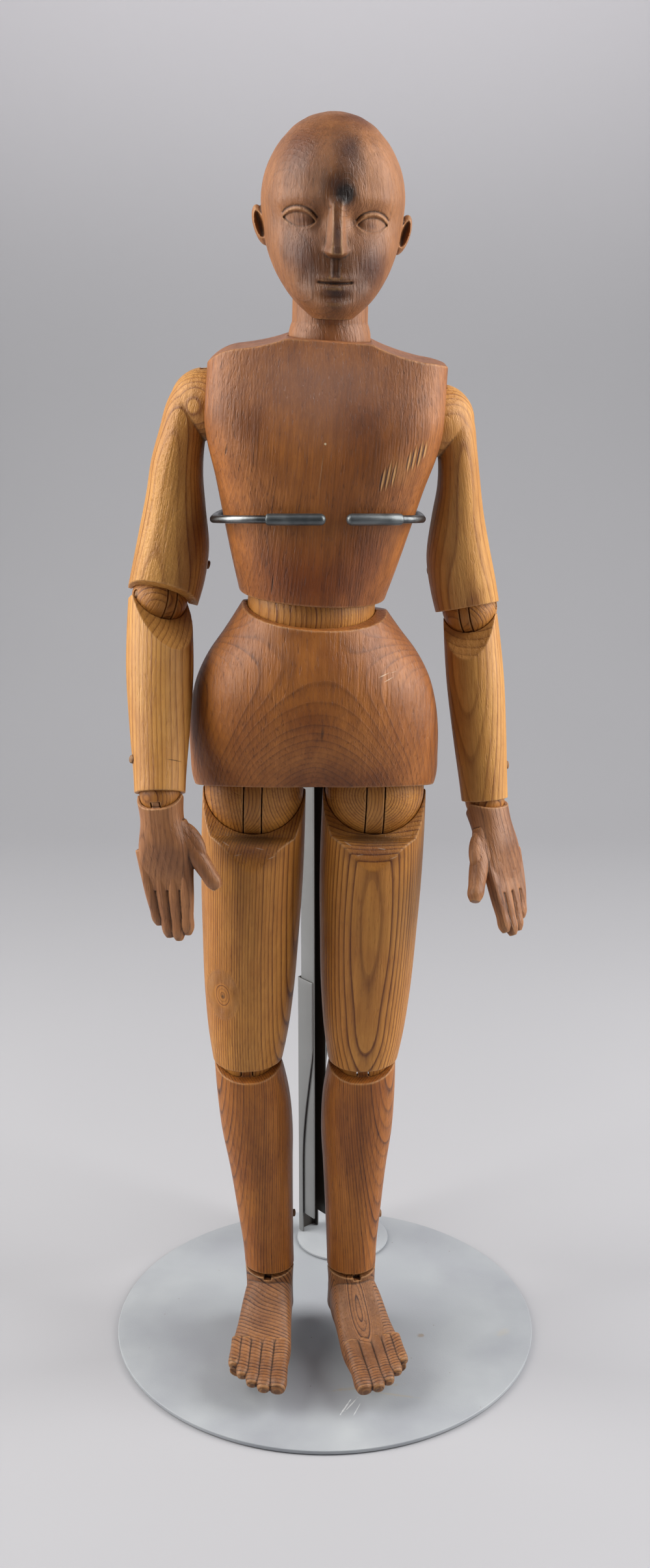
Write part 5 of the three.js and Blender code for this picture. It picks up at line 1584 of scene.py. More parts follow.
@dataclass
class Arm(Limb):
    """One arm: upper arm with its round head, elbow, forearm, wrist and hand."""

    slim: float
    finger_length: float
    wrist_bend: float
    elbow_lift: float
    upper_edges: tuple[Point, ...]
    upper_grain: Grain
    fore_grain: Grain
    hand_grain: Grain
    length: float = 126.5
    depth: float = 46
    shoulder_ball: float = 22.5
    swivel_reach: float = 8.3
    swivel_half: float = 5.3
    pin_hole: float = 2.9
    pin_half: float = 17.8
    peg_proud: float = 2.6
    fore_length: float = 127.5
    fore_width: float = 43.2
    wrist_width: float = 32.4
    palm_length: float = 56
    palm_width: float = 36
    palm_depth: float = 18
    finger_width: float = 9
    finger_root: float = 14
    thumb_length: float = 44
    thumb_width: float = 12
    thumb_splay: float = 27

    def seats(self) -> dict[str, Matrix]:
        """The frames of this arm's pieces.

        Returns:
            The frames by name, in metres.
        """
        find, label = self.skeleton, self.side.label
        pose = find.joints[label + "shoulder_raise"]
        up = find.axis(label + "elbow_twist")
        along = find.axis(label + "shoulder_raise")
        along = along if along.y > 0 else -along
        turn = Matrix((along.cross(up), along, up)).transposed().to_4x4()
        hand = self.seat("wrist_bend", "wrist_twist")
        return {
            "upper": Matrix.Translation(pose["pos_m"]) @ turn,
            "elbow": self.seat("elbow_bend", "elbow_twist"),
            "fore": self.seat("elbow_bend", "wrist_twist"),
            "wrist": hand,
            "hand": hand @ Matrix.Rotation(math.radians(-self.wrist_bend), 4, "X"),
        }

    def upper_stations(self) -> list[Row]:
        """The upper arm's sections under the shoulder's centre, between its outer and inner edges.

        Returns:
            The rows that loft takes.
        """
        full, out = self.depth / 2, self.side.value
        thinner = (11.3, 7, 4.3, 1.8, 1.2, 1.2, 0.6, 0, 0.5)
        depths = [full - less for less in thinner]
        rows = [(*edge, deep) for edge, deep in zip(self.upper_edges, depths)]
        return [(z, (a - b) / 2, deep, deep, out * (a + b) / 2, 2.3) for z, a, b, deep in rows]

    def fore_stations(self) -> list[Row]:
        """The forearm's sections under the elbow's centre.

        Returns:
            The rows that loft takes.
        """
        half, wrist = self.fore_width / 2 - self.slim, self.wrist_width / 2 - self.slim / 3
        mid = (half + wrist) / 2
        return [
            (2, half - 1.6, half - 1, half - 1),
            (-24, half - 0.4, half, half),
            (-44, half, half, half),
            (-86, mid + 0.4, mid, mid),
            (-118, wrist + 0.4, wrist + 0.4, wrist + 0.4),
            (-self.fore_length, wrist, wrist, wrist),
        ]

    def peg_hole(self, node: str, seat: Matrix) -> Flat:
        """Where a peg's hole runs along X, a little past the peg."""
        low, high = self.skeleton.reach(self.side.label + node, seat)
        return low[0] - (6 if low[0] < -20 else 1), high[0] + (6 if high[0] > 20 else 1)

    def build(self) -> None:
        """Carves this arm's pieces, dresses them and puts them in place."""
        label, seats, out = self.side.label, self.seats(), self.side.value
        level = seats["upper"] @ Matrix.Translation((0, 0, -self.length * MM))
        slot = tuple(sorted((-out * FAR, out * self.swivel_reach)))
        slot = block(slot, (-self.swivel_half, self.swivel_half), (-self.swivel_reach, FAR))
        pin = rod(self.pin_hole, -self.pin_half, self.pin_half).turned(90, "X")
        steps = [(Cut.ADD, ball(self.shoulder_ball)), (Cut.TAKE, slot), (Cut.TAKE, pin)]
        drop = Matrix.Translation((0, 0, -self.length))
        steps += ELBOW.upper_cuts(drop, self.peg_hole("elbow_peg", level), self.elbow_lift)
        mesh = stamp(label + "upper_arm", loft(self.upper_stations(), 84, 80), steps, carved(0.6, 2, 0.35))
        look = self.look(LIMB_PINE, "upper_arm", self.upper_grain)
        self.put("arm_shaft", mesh, seats["upper"], "upper_arm", look)
        self.peg("shoulder_pin", seats["upper"], "upper_arm", 1)
        self.peg("elbow_peg", level, "upper_arm", proud=-out * self.peg_proud)

        pale = Grain((12, 34), (20, 8), 1.8, 1.5, out * 1.7)
        look = self.look(BALL_PINE, "elbow", pale)
        self.put("elbow_knob", ELBOW.ball_mesh("elbow", False), seats["elbow"], "elbow", look, "elbow_ball")
        self.peg("elbow_pin", seats["elbow"], "elbow")
        self.put("elbow_strip", ELBOW.strip_mesh("strip"), seats["fore"], "forearm", look, "elbow_tongue")

        drop = Matrix.Translation((0, 0, -self.fore_length))
        level = seats["fore"] @ Matrix.Translation((0, 0, -self.fore_length * MM))
        steps = ELBOW.lower_cuts() + [(Cut.TAKE, ELBOW.mortise())]
        steps += WRIST.upper_cuts(drop, self.peg_hole("wrist_peg", level))
        mesh = stamp(label + "forearm", loft(self.fore_stations(), 84, 80), steps, carved(0.6, 2, 0.35))
        look = self.look(LIMB_PINE, "forearm", self.fore_grain)
        self.put("forearm_shaft", mesh, seats["fore"], "forearm", look)
        self.peg("wrist_peg", level, "forearm")

        look = self.look(BALL_PINE, "wrist", replace(pale, seed=out * 2.9))
        self.put("wrist_knob", WRIST.ball_mesh("wrist", True), seats["wrist"], "wrist", look, "wrist_ball")
        look = self.look(HAND_PEAR, "hand", self.hand_grain)
        self.put("hand_carved", self.hand_mesh(), seats["hand"], "hand", look)

    def digit(self, length: float, width: float, curl: float) -> Blank:
        """A finger: a tapering stick with a knuckle, a blunt end and a slight curl.

        Args:
            length: from root to tip.
            width: across the root.
            curl: how far its tip lies behind its root.

        Returns:
            The finger, hanging from its root.
        """
        half = width / 2
        rows = [(5, half, 0.0), (-length * 0.3, half * 0.97, 0.1), (-length * 0.55, half * 0.98, 0.35)]
        rows += [(-length * 0.75, half * 0.88, 0.6), (-length + half * 0.6, half * 0.8, 0.92)]
        rows.append((-length, half * 0.5, 1.0))
        return loft([(z, r, r - curl * c, r + curl * c, 0, 2.3) for z, r, c in rows], 28, 40)

    def hand_mesh(self) -> bpy.types.Mesh:
        """Carves the hand: flat back, fingers close together, thumb a little away.

        Returns:
            The mesh.
        """
        inner = -self.side.value
        half, deep, cuff = self.palm_width / 2, self.palm_depth / 2, self.wrist_width / 2 - 1
        palm = [
            (2, cuff, cuff - 1.4, cuff - 1.4),
            (-16, cuff - 1.4, cuff - 3.4, cuff - 3.4),
            (-32, half - 1.4, deep + 1.2, deep + 1),
            (-44, half, deep - 2.2, deep - 2),
            (-54, half - 0.8, deep - 4.8, deep - 4.6),
            (-self.palm_length - 6, half - 2, deep - 6, deep - 5.8),
        ]
        steps: list[Step] = []
        nails: list[Step] = []
        for i, share in enumerate((0.92, 1, 0.95, 0.76)):
            x = inner * (1.5 - i) * self.finger_width * 0.95
            length = self.finger_length * share
            gather = math.degrees(math.atan2(-x * 0.3, length))
            stick = self.digit(length + self.finger_root, self.finger_width, 4).at(0, 0, self.finger_root)
            nail = block((-3, 3), (-20, -1.3), (-length - 2, -length + 7.5))
            for tool, cuts, cut in ((stick, steps, Cut.ADD), (nail, nails, Cut.TAKE)):
                cuts.append((cut, tool.turned(-gather, "Y").at(x, 0, -self.palm_length + 2)))
        # The thumb, the ball of the thumb and the web between thumb and palm.
        for form, splay, at in (
            (self.digit(self.thumb_length, self.thumb_width, 2), self.thumb_splay, (half - 6, 1, -24)),
            (ball(1, 40).scaled(8.5, 8, 17), 18, (half - 7, 1.5, -30)),
            (ball(1, 40).scaled(6.5, 5, 14), 24, (half + 1, 1, -32)),
        ):
            steps.append((Cut.ADD, form.turned(-inner * splay, "Y").at(inner * at[0], *at[1:])))
        steps += nails + WRIST.lower_cuts() + [(Cut.ADD, WRIST.strip())]
        shape = loft([(*row, 0, 2.4) for row in palm], 64, 60)
        return stamp(self.side.label + "hand", shape, steps, carved(0.45, 3, 0.45))


@dataclass
class Leg(Limb):
    """One leg: hip ball and strip, thigh, knee, shin, ankle and foot."""

    thigh_grain: Grain
    shin_grain: Grain
    foot_grain: Grain
    hip_grain: Grain
    thigh_length: float = 196
    thigh_width: float = 68.6
    thigh_depth: float = 75
    knee_width: float = 47.6
    shin_length: float = 162
    shin_width: float = 50
    ankle_width: float = 34.8
    shin_inset: float = 10.4
    foot_height: float = 50.5
    foot_width: float = 44
    heel_back: float = 32
    toe_front: float = 92
    toe_root: float = 21.3
    toe_slope: float = 15

    def thigh_stations(self) -> list[Row]:
        """The thigh's sections under the hip's centre.

        Returns:
            The rows that loft takes.
        """
        half, deep, knee = self.thigh_width / 2, self.thigh_depth / 2, self.knee_width / 2
        return [
            (2, half - 0.3, deep - 1.5, deep - 1),
            (-22, half, deep, deep),
            (-62, half - 0.2, deep - 0.5, deep),
            (-102, half - 1.7, deep - 2.5, deep - 1.5),
            (-145, half - 4, deep - 6, deep - 5),
            (-175, knee + 3.4, knee + 5, knee + 5.5),
            (-self.thigh_length, knee, knee + 1.6, knee + 2),
        ]

    def shin_stations(self) -> list[Row]:
        """The shin's sections under the knee's centre.

        Returns:
            The rows that loft takes.
        """
        half, ankle = self.shin_width / 2, self.ankle_width / 2
        rows = [
            (2, half - 2, half, half, 0),
            (-26, half, half, half + 3, 3),
            (-57, half - 0.3, half - 2, half + 6, 5),
            (-82, half - 2.6, half - 4, half + 4, 6.6),
            (-120, ankle + 2.2, ankle + 1.2, ankle + 6, 8.6),
            (-150, ankle + 0.3, ankle, ankle + 1.5, self.shin_inset - 0.3),
            (-self.shin_length, ankle, ankle, ankle + 0.4, self.shin_inset),
        ]
        return [(z, w, f, b, -self.side.value * c) for z, w, f, b, c in rows]

    def peg_hole(self, node: str, seat: Matrix) -> Flat:
        """Where a peg's hole runs along X, a little past the peg's outer end."""
        low, high = self.skeleton.reach(self.side.label + node, seat)
        return low[0] - 1, high[0] + 6

    def build(self) -> None:
        """Carves this leg's pieces, dresses them and puts them in place."""
        label, side = self.side.label, self.side.value
        hip, knee, ankle = (self.seat(part + "_bend", part + "_twist") for part in ("hip", "knee", "ankle"))
        bore = self.upright(ankle, knee)
        look = self.look(THIGH_PINE, "hip", self.hip_grain)
        self.put("hip_knob", HIP.ball_mesh("hip", False), hip, "hip", look, "hip_ball")
        self.peg("hip_pin", hip, "hip")
        look = self.look(BALL_PINE, "hip_strip", Grain((60, 30), (0, 2), 1.6, 1.0, side * 3.1))
        self.put("hip_strip", HIP.strip_mesh("strip"), hip, "thigh", look, "hip_tongue")

        steps = HIP.lower_cuts() + [(Cut.TAKE, HIP.mortise())]
        steps += KNEE.upper_cuts(local(hip, knee), self.peg_hole("knee_peg", knee))
        mesh = stamp(label + "thigh", loft(self.thigh_stations(), 96, 90), steps, carved(0.7, 2, 0.35))
        self.put("thigh_shaft", mesh, hip, "thigh", self.look(THIGH_PINE, "thigh", self.thigh_grain))
        self.peg("knee_peg", knee, "thigh")

        pale = Grain((20, 40), (10, 5), 1.8, 1.5, side * 4.3)
        look = self.look(BALL_PINE, "knee", pale)
        self.put("knee_knob", KNEE.ball_mesh("knee", False), knee, "knee", look, "knee_ball")
        self.peg("knee_pin", knee, "knee")
        steps = KNEE.lower_cuts() + [(Cut.ADD, KNEE.strip())]
        steps.append((Cut.TAKE, KNEE.pin_hole()))
        steps += ANKLE.upper_cuts(local(knee, bore), self.peg_hole("ankle_peg", bore))
        mesh = stamp(label + "shin", loft(self.shin_stations(), 84, 84), steps, carved(0.65, 2, 0.35))
        self.put("shin_shaft", mesh, knee, "shin", self.look(SHIN_PINE, "shin", self.shin_grain))
        self.peg("ankle_peg", bore, "shin")

        look = self.look(BALL_PINE, "ankle", replace(pale, seed=side * 5.9))
        self.put("ankle_knob", ANKLE.ball_mesh("ankle", True), ankle, "ankle", look, "ankle_ball")
        look = self.look(FOOT_PINE, "foot", self.foot_grain)
        self.put("foot_carved", self.foot_mesh(), ankle, "foot", look)

    def upright(self, ankle: Matrix, knee: Matrix) -> Matrix:
        """The ankle's bore in the shin: the ankle's place and stem, with X along the knee's.

        Args:
            ankle: the ankle's frame.
            knee: the knee's frame.

        Returns:
            The bore's frame.
        """
        up = ankle.col[2].to_3d()
        across = knee.col[0].to_3d()
        across = (across - up * across.dot(up)).normalized()
        turn = Matrix((across, up.cross(across), up)).transposed().to_4x4()
        return Matrix.Translation(ankle.translation) @ turn

    def toe(self, length: float, width: float) -> Blank:
        """A toe: a stubby stick with a rounded pad.

        Args:
            length: from root to tip.
            width: across it.

        Returns:
            The toe.
        """
        half = width / 2
        rows = [(6, 0.94, 0.9), (-length * 0.35, 0.94, 0.86), (-length * 0.62, 1, 0.92)]
        rows += [(-length + half * 0.7, 0.96, 0.9), (-length + half * 0.2, 0.74, 0.7), (-length, 0.42, 0.4)]
        return loft([(z, half * w, half * d + 0.6, half * d - 0.6, 0, 2.3) for z, w, d in rows], 32, 40)

    def foot_mesh(self) -> bpy.types.Mesh:
        """Carves the foot: high instep, flat sole, five toes with nails.

        Returns:
            The mesh.
        """
        inner = -self.side.value
        half, sole, cuff = self.foot_width / 2, self.foot_height, self.ankle_width / 2
        run = [
            (-self.heel_back, 5.5, sole - 8, -26, -2.6),
            (-self.heel_back + 5, 11, sole - 1, -16, -2.2),
            (-14, 14.6, sole, -8, -1.4),
            (4, 16.6, sole, -2, 0),
            (18, 17.6, sole, -6.5, -0.4),
            (34, 19, sole, -18.5, -0.8),
            (50, half - 1.4, sole, -27, -1.2),
            (self.toe_front - 22, half - 2.4, sole - 1.4, -36.5, -1.7),
        ]
        body = loft([(t, w, low, high, inner * c, 2.6) for t, w, low, high, c in run], 72, 80).turned(90, "X")
        shank = [(2, cuff, cuff, cuff + 0.4), (-14, cuff - 0.8, cuff + 1, cuff)]
        shank.append((-34, cuff - 0.6, cuff + 6, cuff + 6))
        steps: list[Step] = [(Cut.ADD, loft(shank, 64, 40))]
        nails: list[Step] = []
        start = self.toe_front - 36
        toes = ((13.4, 12, 1), (4.2, 9.6, 1.01), (-3.9, 9, 0.97), (-11.3, 8.6, 0.9), (-18, 8.2, 0.81))
        for x, width, share in toes:
            length = self.toe_front * share - start
            at = (inner * x, -start, self.toe_root - width * 0.46 - sole)
            steps.append((Cut.ADD, self.toe(length, width).turned(self.toe_slope - 90, "X").at(*at)))
            nail_half, nail_end = width * 0.32, -length + width * 0.62
            nail = block((-nail_half, nail_half), (-length - 1, nail_end), (width * 0.31, 20))
            nails.append((Cut.TAKE, nail.turned(self.toe_slope - 6, "X").at(*at)))
        steps.append((Cut.TAKE, block((-2.7, 2.7), (-30, -10), (-4.4, 6))))
        steps += nails + ANKLE.lower_cuts() + [(Cut.ADD, ANKLE.strip())]
        return stamp(self.side.label + "foot", body, steps, carved(0.45, 3, 0.45))


# The stand

PLATE_ENAMEL = Paint(
    "grey_blue_enamel", "plate_paint", "#969aa1", "#8d939a", "#c4c8ca", 0.48,
    (
        Mark((28, -84, 3), (30, 2.2, 3), "#9c927c", 0.7, 8, 0.6),
        Mark((48, -92, 3), (22, 1.4, 3), "#a2977f", 0.5, -12, 0.6),
        Mark((70, -22, 3), (3.5, 3.0, 3), "#7d6c55", 0.8, 30, 0.7),
        Mark((130, -18, 3), (9, 5, 3), "#a09a8e", 0.5, 40, 0.8),
        Mark((14, -106, 3), (0.7, 12, 3), "#d4d8da", 0.9, -24, 0.5),
        Mark((18, -103, 3), (0.6, 10, 3), "#d4d8da", 0.8, -30, 0.5),
        Mark((22, -108, 3), (0.5, 9, 3), "#d0d4d6", 0.8, -20, 0.5),
    ),
)
POST_ENAMEL = Paint("pale_grey_enamel", "post_paint", "#747677", "#686a6b", "#8e9193", 0.42)
DRAWN_STEEL = Metal("drawn_steel", "clip_steel", "#7a7d7f", "#4e5153", 0.34, 1.0)
GREY_SLEEVE = Metal("shrunk_grey_sleeve", "clip_sleeve", "#6e7375", "#525759", 0.38, 0.7)
FOLDED_EDGE = [("BEVEL", {"width": 0.25 * MM, "segments": 2, "limit_method": "ANGLE"})]


def along(path: np.ndarray, at: np.ndarray, shares: bool = False) -> np.ndarray:
    """Finds points on a path.

    Args:
        path: the path's points.
        at: how far along it each wanted point lies.
        shares: whether that is given in shares of the whole length.

    Returns:
        The points.
    """
    away = np.concatenate([[0], np.cumsum(np.linalg.norm(np.diff(path, axis=0), axis=1))])
    at = at * away[-1] if shares else at
    return np.column_stack([np.interp(at, away, path[:, i]) for i in range(3)])


@dataclass
class Stand:
    """The round plate, its flange, the folded post that slides in its sleeve, and the spring clip."""

    skeleton: Skeleton
    torso: Torso
    plate: float = 305
    plate_thickness: float = 3
    flange: float = 72
    flange_thickness: float = 2
    flange_at: Flat = (14, 112)
    post_at: Flat = (-9, 119)
    post_turn: float = 40
    post_width: float = 13
    post_depth: float = 16
    sheet: float = 1.5
    post_foot: float = 16
    sleeve_height: float = 225
    sleeve_strip: float = 6
    sweep: Flat = (65, 185)
    wire: float = 5
    clip_rise: float = 54.5
    clip_tilt: float = 8.5
    clip_gap: float = 1.9
    clip_mouth: float = 9
    clip_mouth_x: float = 3.5
    tip_width: float = 7.2
    tip_length: float = 36
    tip_end: float = 2
    wrap: float = 118

    @property
    def clip_height(self) -> float:
        """Height of the clip's level part."""
        return self.skeleton.joints["waist_bend"]["pos_m"][2] / MM + self.clip_rise

    def build(self) -> None:
        """Makes the stand's pieces, dresses them and puts them in place."""
        level, enamel, slot = Matrix.Identity(4), PLATE_ENAMEL.material(), PLATE_ENAMEL.slot
        disc = self.disc(self.plate / 2, self.plate_thickness, 0.7, 256)
        place("plate_disc", disc.mesh("plate"), level, "stand", enamel, slot, "base_plate")
        low, high = (np.array(corner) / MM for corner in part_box("post_flange"))
        disc = self.disc(self.flange / 2, self.flange_thickness, 0.5, 160).at(*self.flange_at, low[2])
        place("flange_disc", disc.mesh("flange"), level, "stand", enamel, slot, "post_flange")
        self.build_post(high[2] + CLEAR)
        self.build_clip()

    def disc(self, radius: float, thick: float, rim: float, sides: int) -> Blank:
        """A flat disc with rounded rims, from its underside up.

        Args:
            radius: the disc's.
            thick: its thickness.
            rim: radius of its rounded rims.
            sides: points round it.

        Returns:
            The disc.
        """
        turn = np.linspace(-math.pi / 2, 0, 6)
        profile = [(0.0, 0.0)] + [(radius - rim + rim * math.cos(a), rim + rim * math.sin(a)) for a in turn]
        return lathe(profile + [(r, thick - z) for r, z in reversed(profile)], sides)

    def channel(self, width: float, depth: float, low: float, high: float) -> Blank:
        """A folded sheet channel, open to -Y, with rounded folds.

        Args:
            width: outside, across.
            depth: outside, from its lips to its back.
            low: height of its foot.
            high: height of its top.

        Returns:
            The channel.
        """
        outer, inner = self.sheet + 0.6, 0.6
        half, back = width / 2, depth / 2

        def fold(reach: float, far: float, radius: float) -> list[Flat]:
            """One face of the sheet from the left lip round to the right one.

            Args:
                reach: half the face's width.
                far: where its back lies.
                radius: of its folds.

            Returns:
                The points in X and Y.
            """
            turns = [math.radians(a) for a in np.linspace(180, 90, 8)]
            mid_x, mid_y = radius - reach, far - radius
            left = [(mid_x + radius * math.cos(a), mid_y + radius * math.sin(a)) for a in turns]
            return [(-reach, -back)] + left + [(-x, y) for x, y in reversed(left)] + [(reach, -back)]

        ring = fold(half, back, outer) + fold(half - self.sheet, back - self.sheet, inner)[::-1]
        flat = np.array(ring)[::-1]
        levels, count = np.linspace(low, high, 60), len(flat)
        points = np.concatenate([np.column_stack([flat, np.full(count, z)]) for z in levels])
        last = (len(levels) - 1) * count
        faces: list[Sequence[int]] = [tuple(range(count))[::-1], tuple(range(last, last + count))]
        for low_ring in range(0, last, count):
            for j, k in zip(range(count), [*range(1, count), 0]):
                faces.append((low_ring + j, low_ring + k, low_ring + count + k, low_ring + count + j))
        return Blank(points, faces)

    def build_post(self, foot: float) -> None:
        """Folds the post and its sleeve.

        Args:
            foot: height of the sleeve's lower end.
        """
        seat = Matrix.Translation((*(at * MM for at in self.post_at), 0))
        seat = seat @ Matrix.Rotation(math.radians(self.post_turn), 4, "Z")
        sheet, narrow, shallow = self.sheet, self.post_width, self.post_depth
        wide, deep = narrow + 2 * (sheet + CLEAR), shallow + sheet + CLEAR
        back, strip = deep / 2, deep / 2 - self.sleeve_strip
        start, end = self.sweep
        hook = [(-back - 1, end), (-back, end - 40), (strip, start + 50), (strip, start)]
        outline = [(back + 1, foot - 1), (back + 1, self.sleeve_height + 1)]
        outline.append((-back - 1, self.sleeve_height + 1))
        outline += [*map(tuple, curve_points(hook, 40)), (strip, foot - 1)]
        sleeve = self.channel(wide, deep, foot, self.sleeve_height)
        mesh = stamp("sleeve", sleeve, [(Cut.KEEP, prism(outline, FAR))], FOLDED_EDGE)
        shift = Matrix.Translation((0, (sheet + CLEAR) / 2 * MM, 0))
        # The inner faces of sleeve and post get painted shade.
        look = POST_ENAMEL.material(((wide - sheet) / 2, back - sheet / 2))
        place("sleeve_fold", mesh, seat @ shift, "stand", look, POST_ENAMEL.slot, "post_sleeve")
        top = self.clip_height - self.wire / 2 - CLEAR
        mesh = stamp("post", self.channel(narrow, shallow, foot + self.post_foot, top), [], FOLDED_EDGE)
        look = POST_ENAMEL.material(((narrow - sheet) / 2, (shallow - sheet) / 2))
        place("post_fold", mesh, seat, "torso", look, POST_ENAMEL.slot, "upper_post")

    def clip_half(self, sign: int) -> np.ndarray:
        """The clip's plan from one front tip round that side of the chest.

        Args:
            sign: the side of X that it is on.

        Returns:
            The half's points, from its front tip on.
        """
        waist = self.skeleton.joints["waist_bend"]["pos_m"]
        stem = self.skeleton.axis("waist_twist")
        slope = math.tan(math.radians(self.clip_tilt))
        height = (self.clip_rise + self.torso.chest_depth / 2 * slope) / stem.z
        rows = smooth_rows(self.torso.stations, 400)
        _, half, front, back, _, power = rows[np.argmin(np.abs(rows[:, 0] - height))]
        middle = waist[0] / MM + height * stem.x
        off = self.wire / 2 + self.clip_gap
        a, b = half + off, (front + back) / 2 + off
        tip = self.clip_mouth_x + sign * (self.clip_mouth / 2 + self.tip_end)
        first = math.asin(min(1, abs(tip - middle) / a)) * math.copysign(1, sign * (tip - middle))
        angle = np.linspace(first, math.radians(self.wrap), 90)
        x = middle + sign * a * bent(np.sin(angle), np.array(power))
        y = waist[1] / MM + (back - front) / 2 - b * bent(np.cos(angle), np.array(power))
        return np.column_stack([x, y, self.clip_height + np.maximum(0, waist[1] / MM - y) * slope])

    def build_clip(self) -> None:
        """Bends the spring wire and pushes a sleeve over each of its ends."""
        level, right, left = Matrix.Identity(4), self.clip_half(-1), self.clip_half(1)
        bridge = np.array([[*self.post_at, self.clip_height]])
        path = self.eased(np.concatenate([right[::6], bridge, left[::-6]]), 260)
        mesh = tube(path, np.full(len(path), self.wire / 2), 24).mesh("wire")
        place("clip_wire", mesh, level, "torso", DRAWN_STEEL.material(), DRAWN_STEEL.slot, "torso_clip")
        nose, radius = self.tip_width / 2, self.tip_width / 2
        for name, half in (("right", right), ("left", left)):
            out = half[0] - half[1]
            path = np.concatenate([[half[0] + out / np.linalg.norm(out) * self.tip_end], half])
            at = np.concatenate([np.linspace(0, nose, 16), np.linspace(4.2, self.tip_length, 50)])
            round_end = np.sqrt(np.clip(1 - ((nose - np.minimum(at, nose)) / nose) ** 2, 0.0004, 1))
            lip = 1 - 0.06 * np.clip(at - self.tip_length + 1, 0, 1)
            mesh = tube(along(path, at), radius * round_end * lip, 28).mesh("tip")
            look, node = GREY_SLEEVE.material(), "clip_tip_" + name
            place("tip_sleeve_" + name, mesh, level, "torso", look, GREY_SLEEVE.slot, node)

    def eased(self, points: np.ndarray, count: int) -> np.ndarray:
        """Runs a smooth line through points, evenly spaced.

        Args:
            points: what the line goes through.
            count: how many points to give back.

        Returns:
            The line's points.
        """
        curve = bpy.data.curves.new("bend", "CURVE")
        curve.dimensions, curve.resolution_u = "3D", 12
        spline = curve.splines.new("BEZIER")
        spline.bezier_points.add(len(points) - 1)
        for knot, point in zip(spline.bezier_points, points):
            knot.co, knot.handle_left_type, knot.handle_right_type = point, "AUTO", "AUTO"
        holder = bpy.data.objects.new("bend", curve)
        bpy.context.scene.collection.objects.link(holder)
        bpy.context.view_layer.update()
        line = holder.evaluated_get(bpy.context.evaluated_depsgraph_get()).to_mesh()
        found = np.array([vertex.co for vertex in line.vertices])
        bpy.data.objects.remove(holder)
        bpy.data.curves.remove(curve)
        return along(found, np.linspace(0, 1, count), True)


# The studio


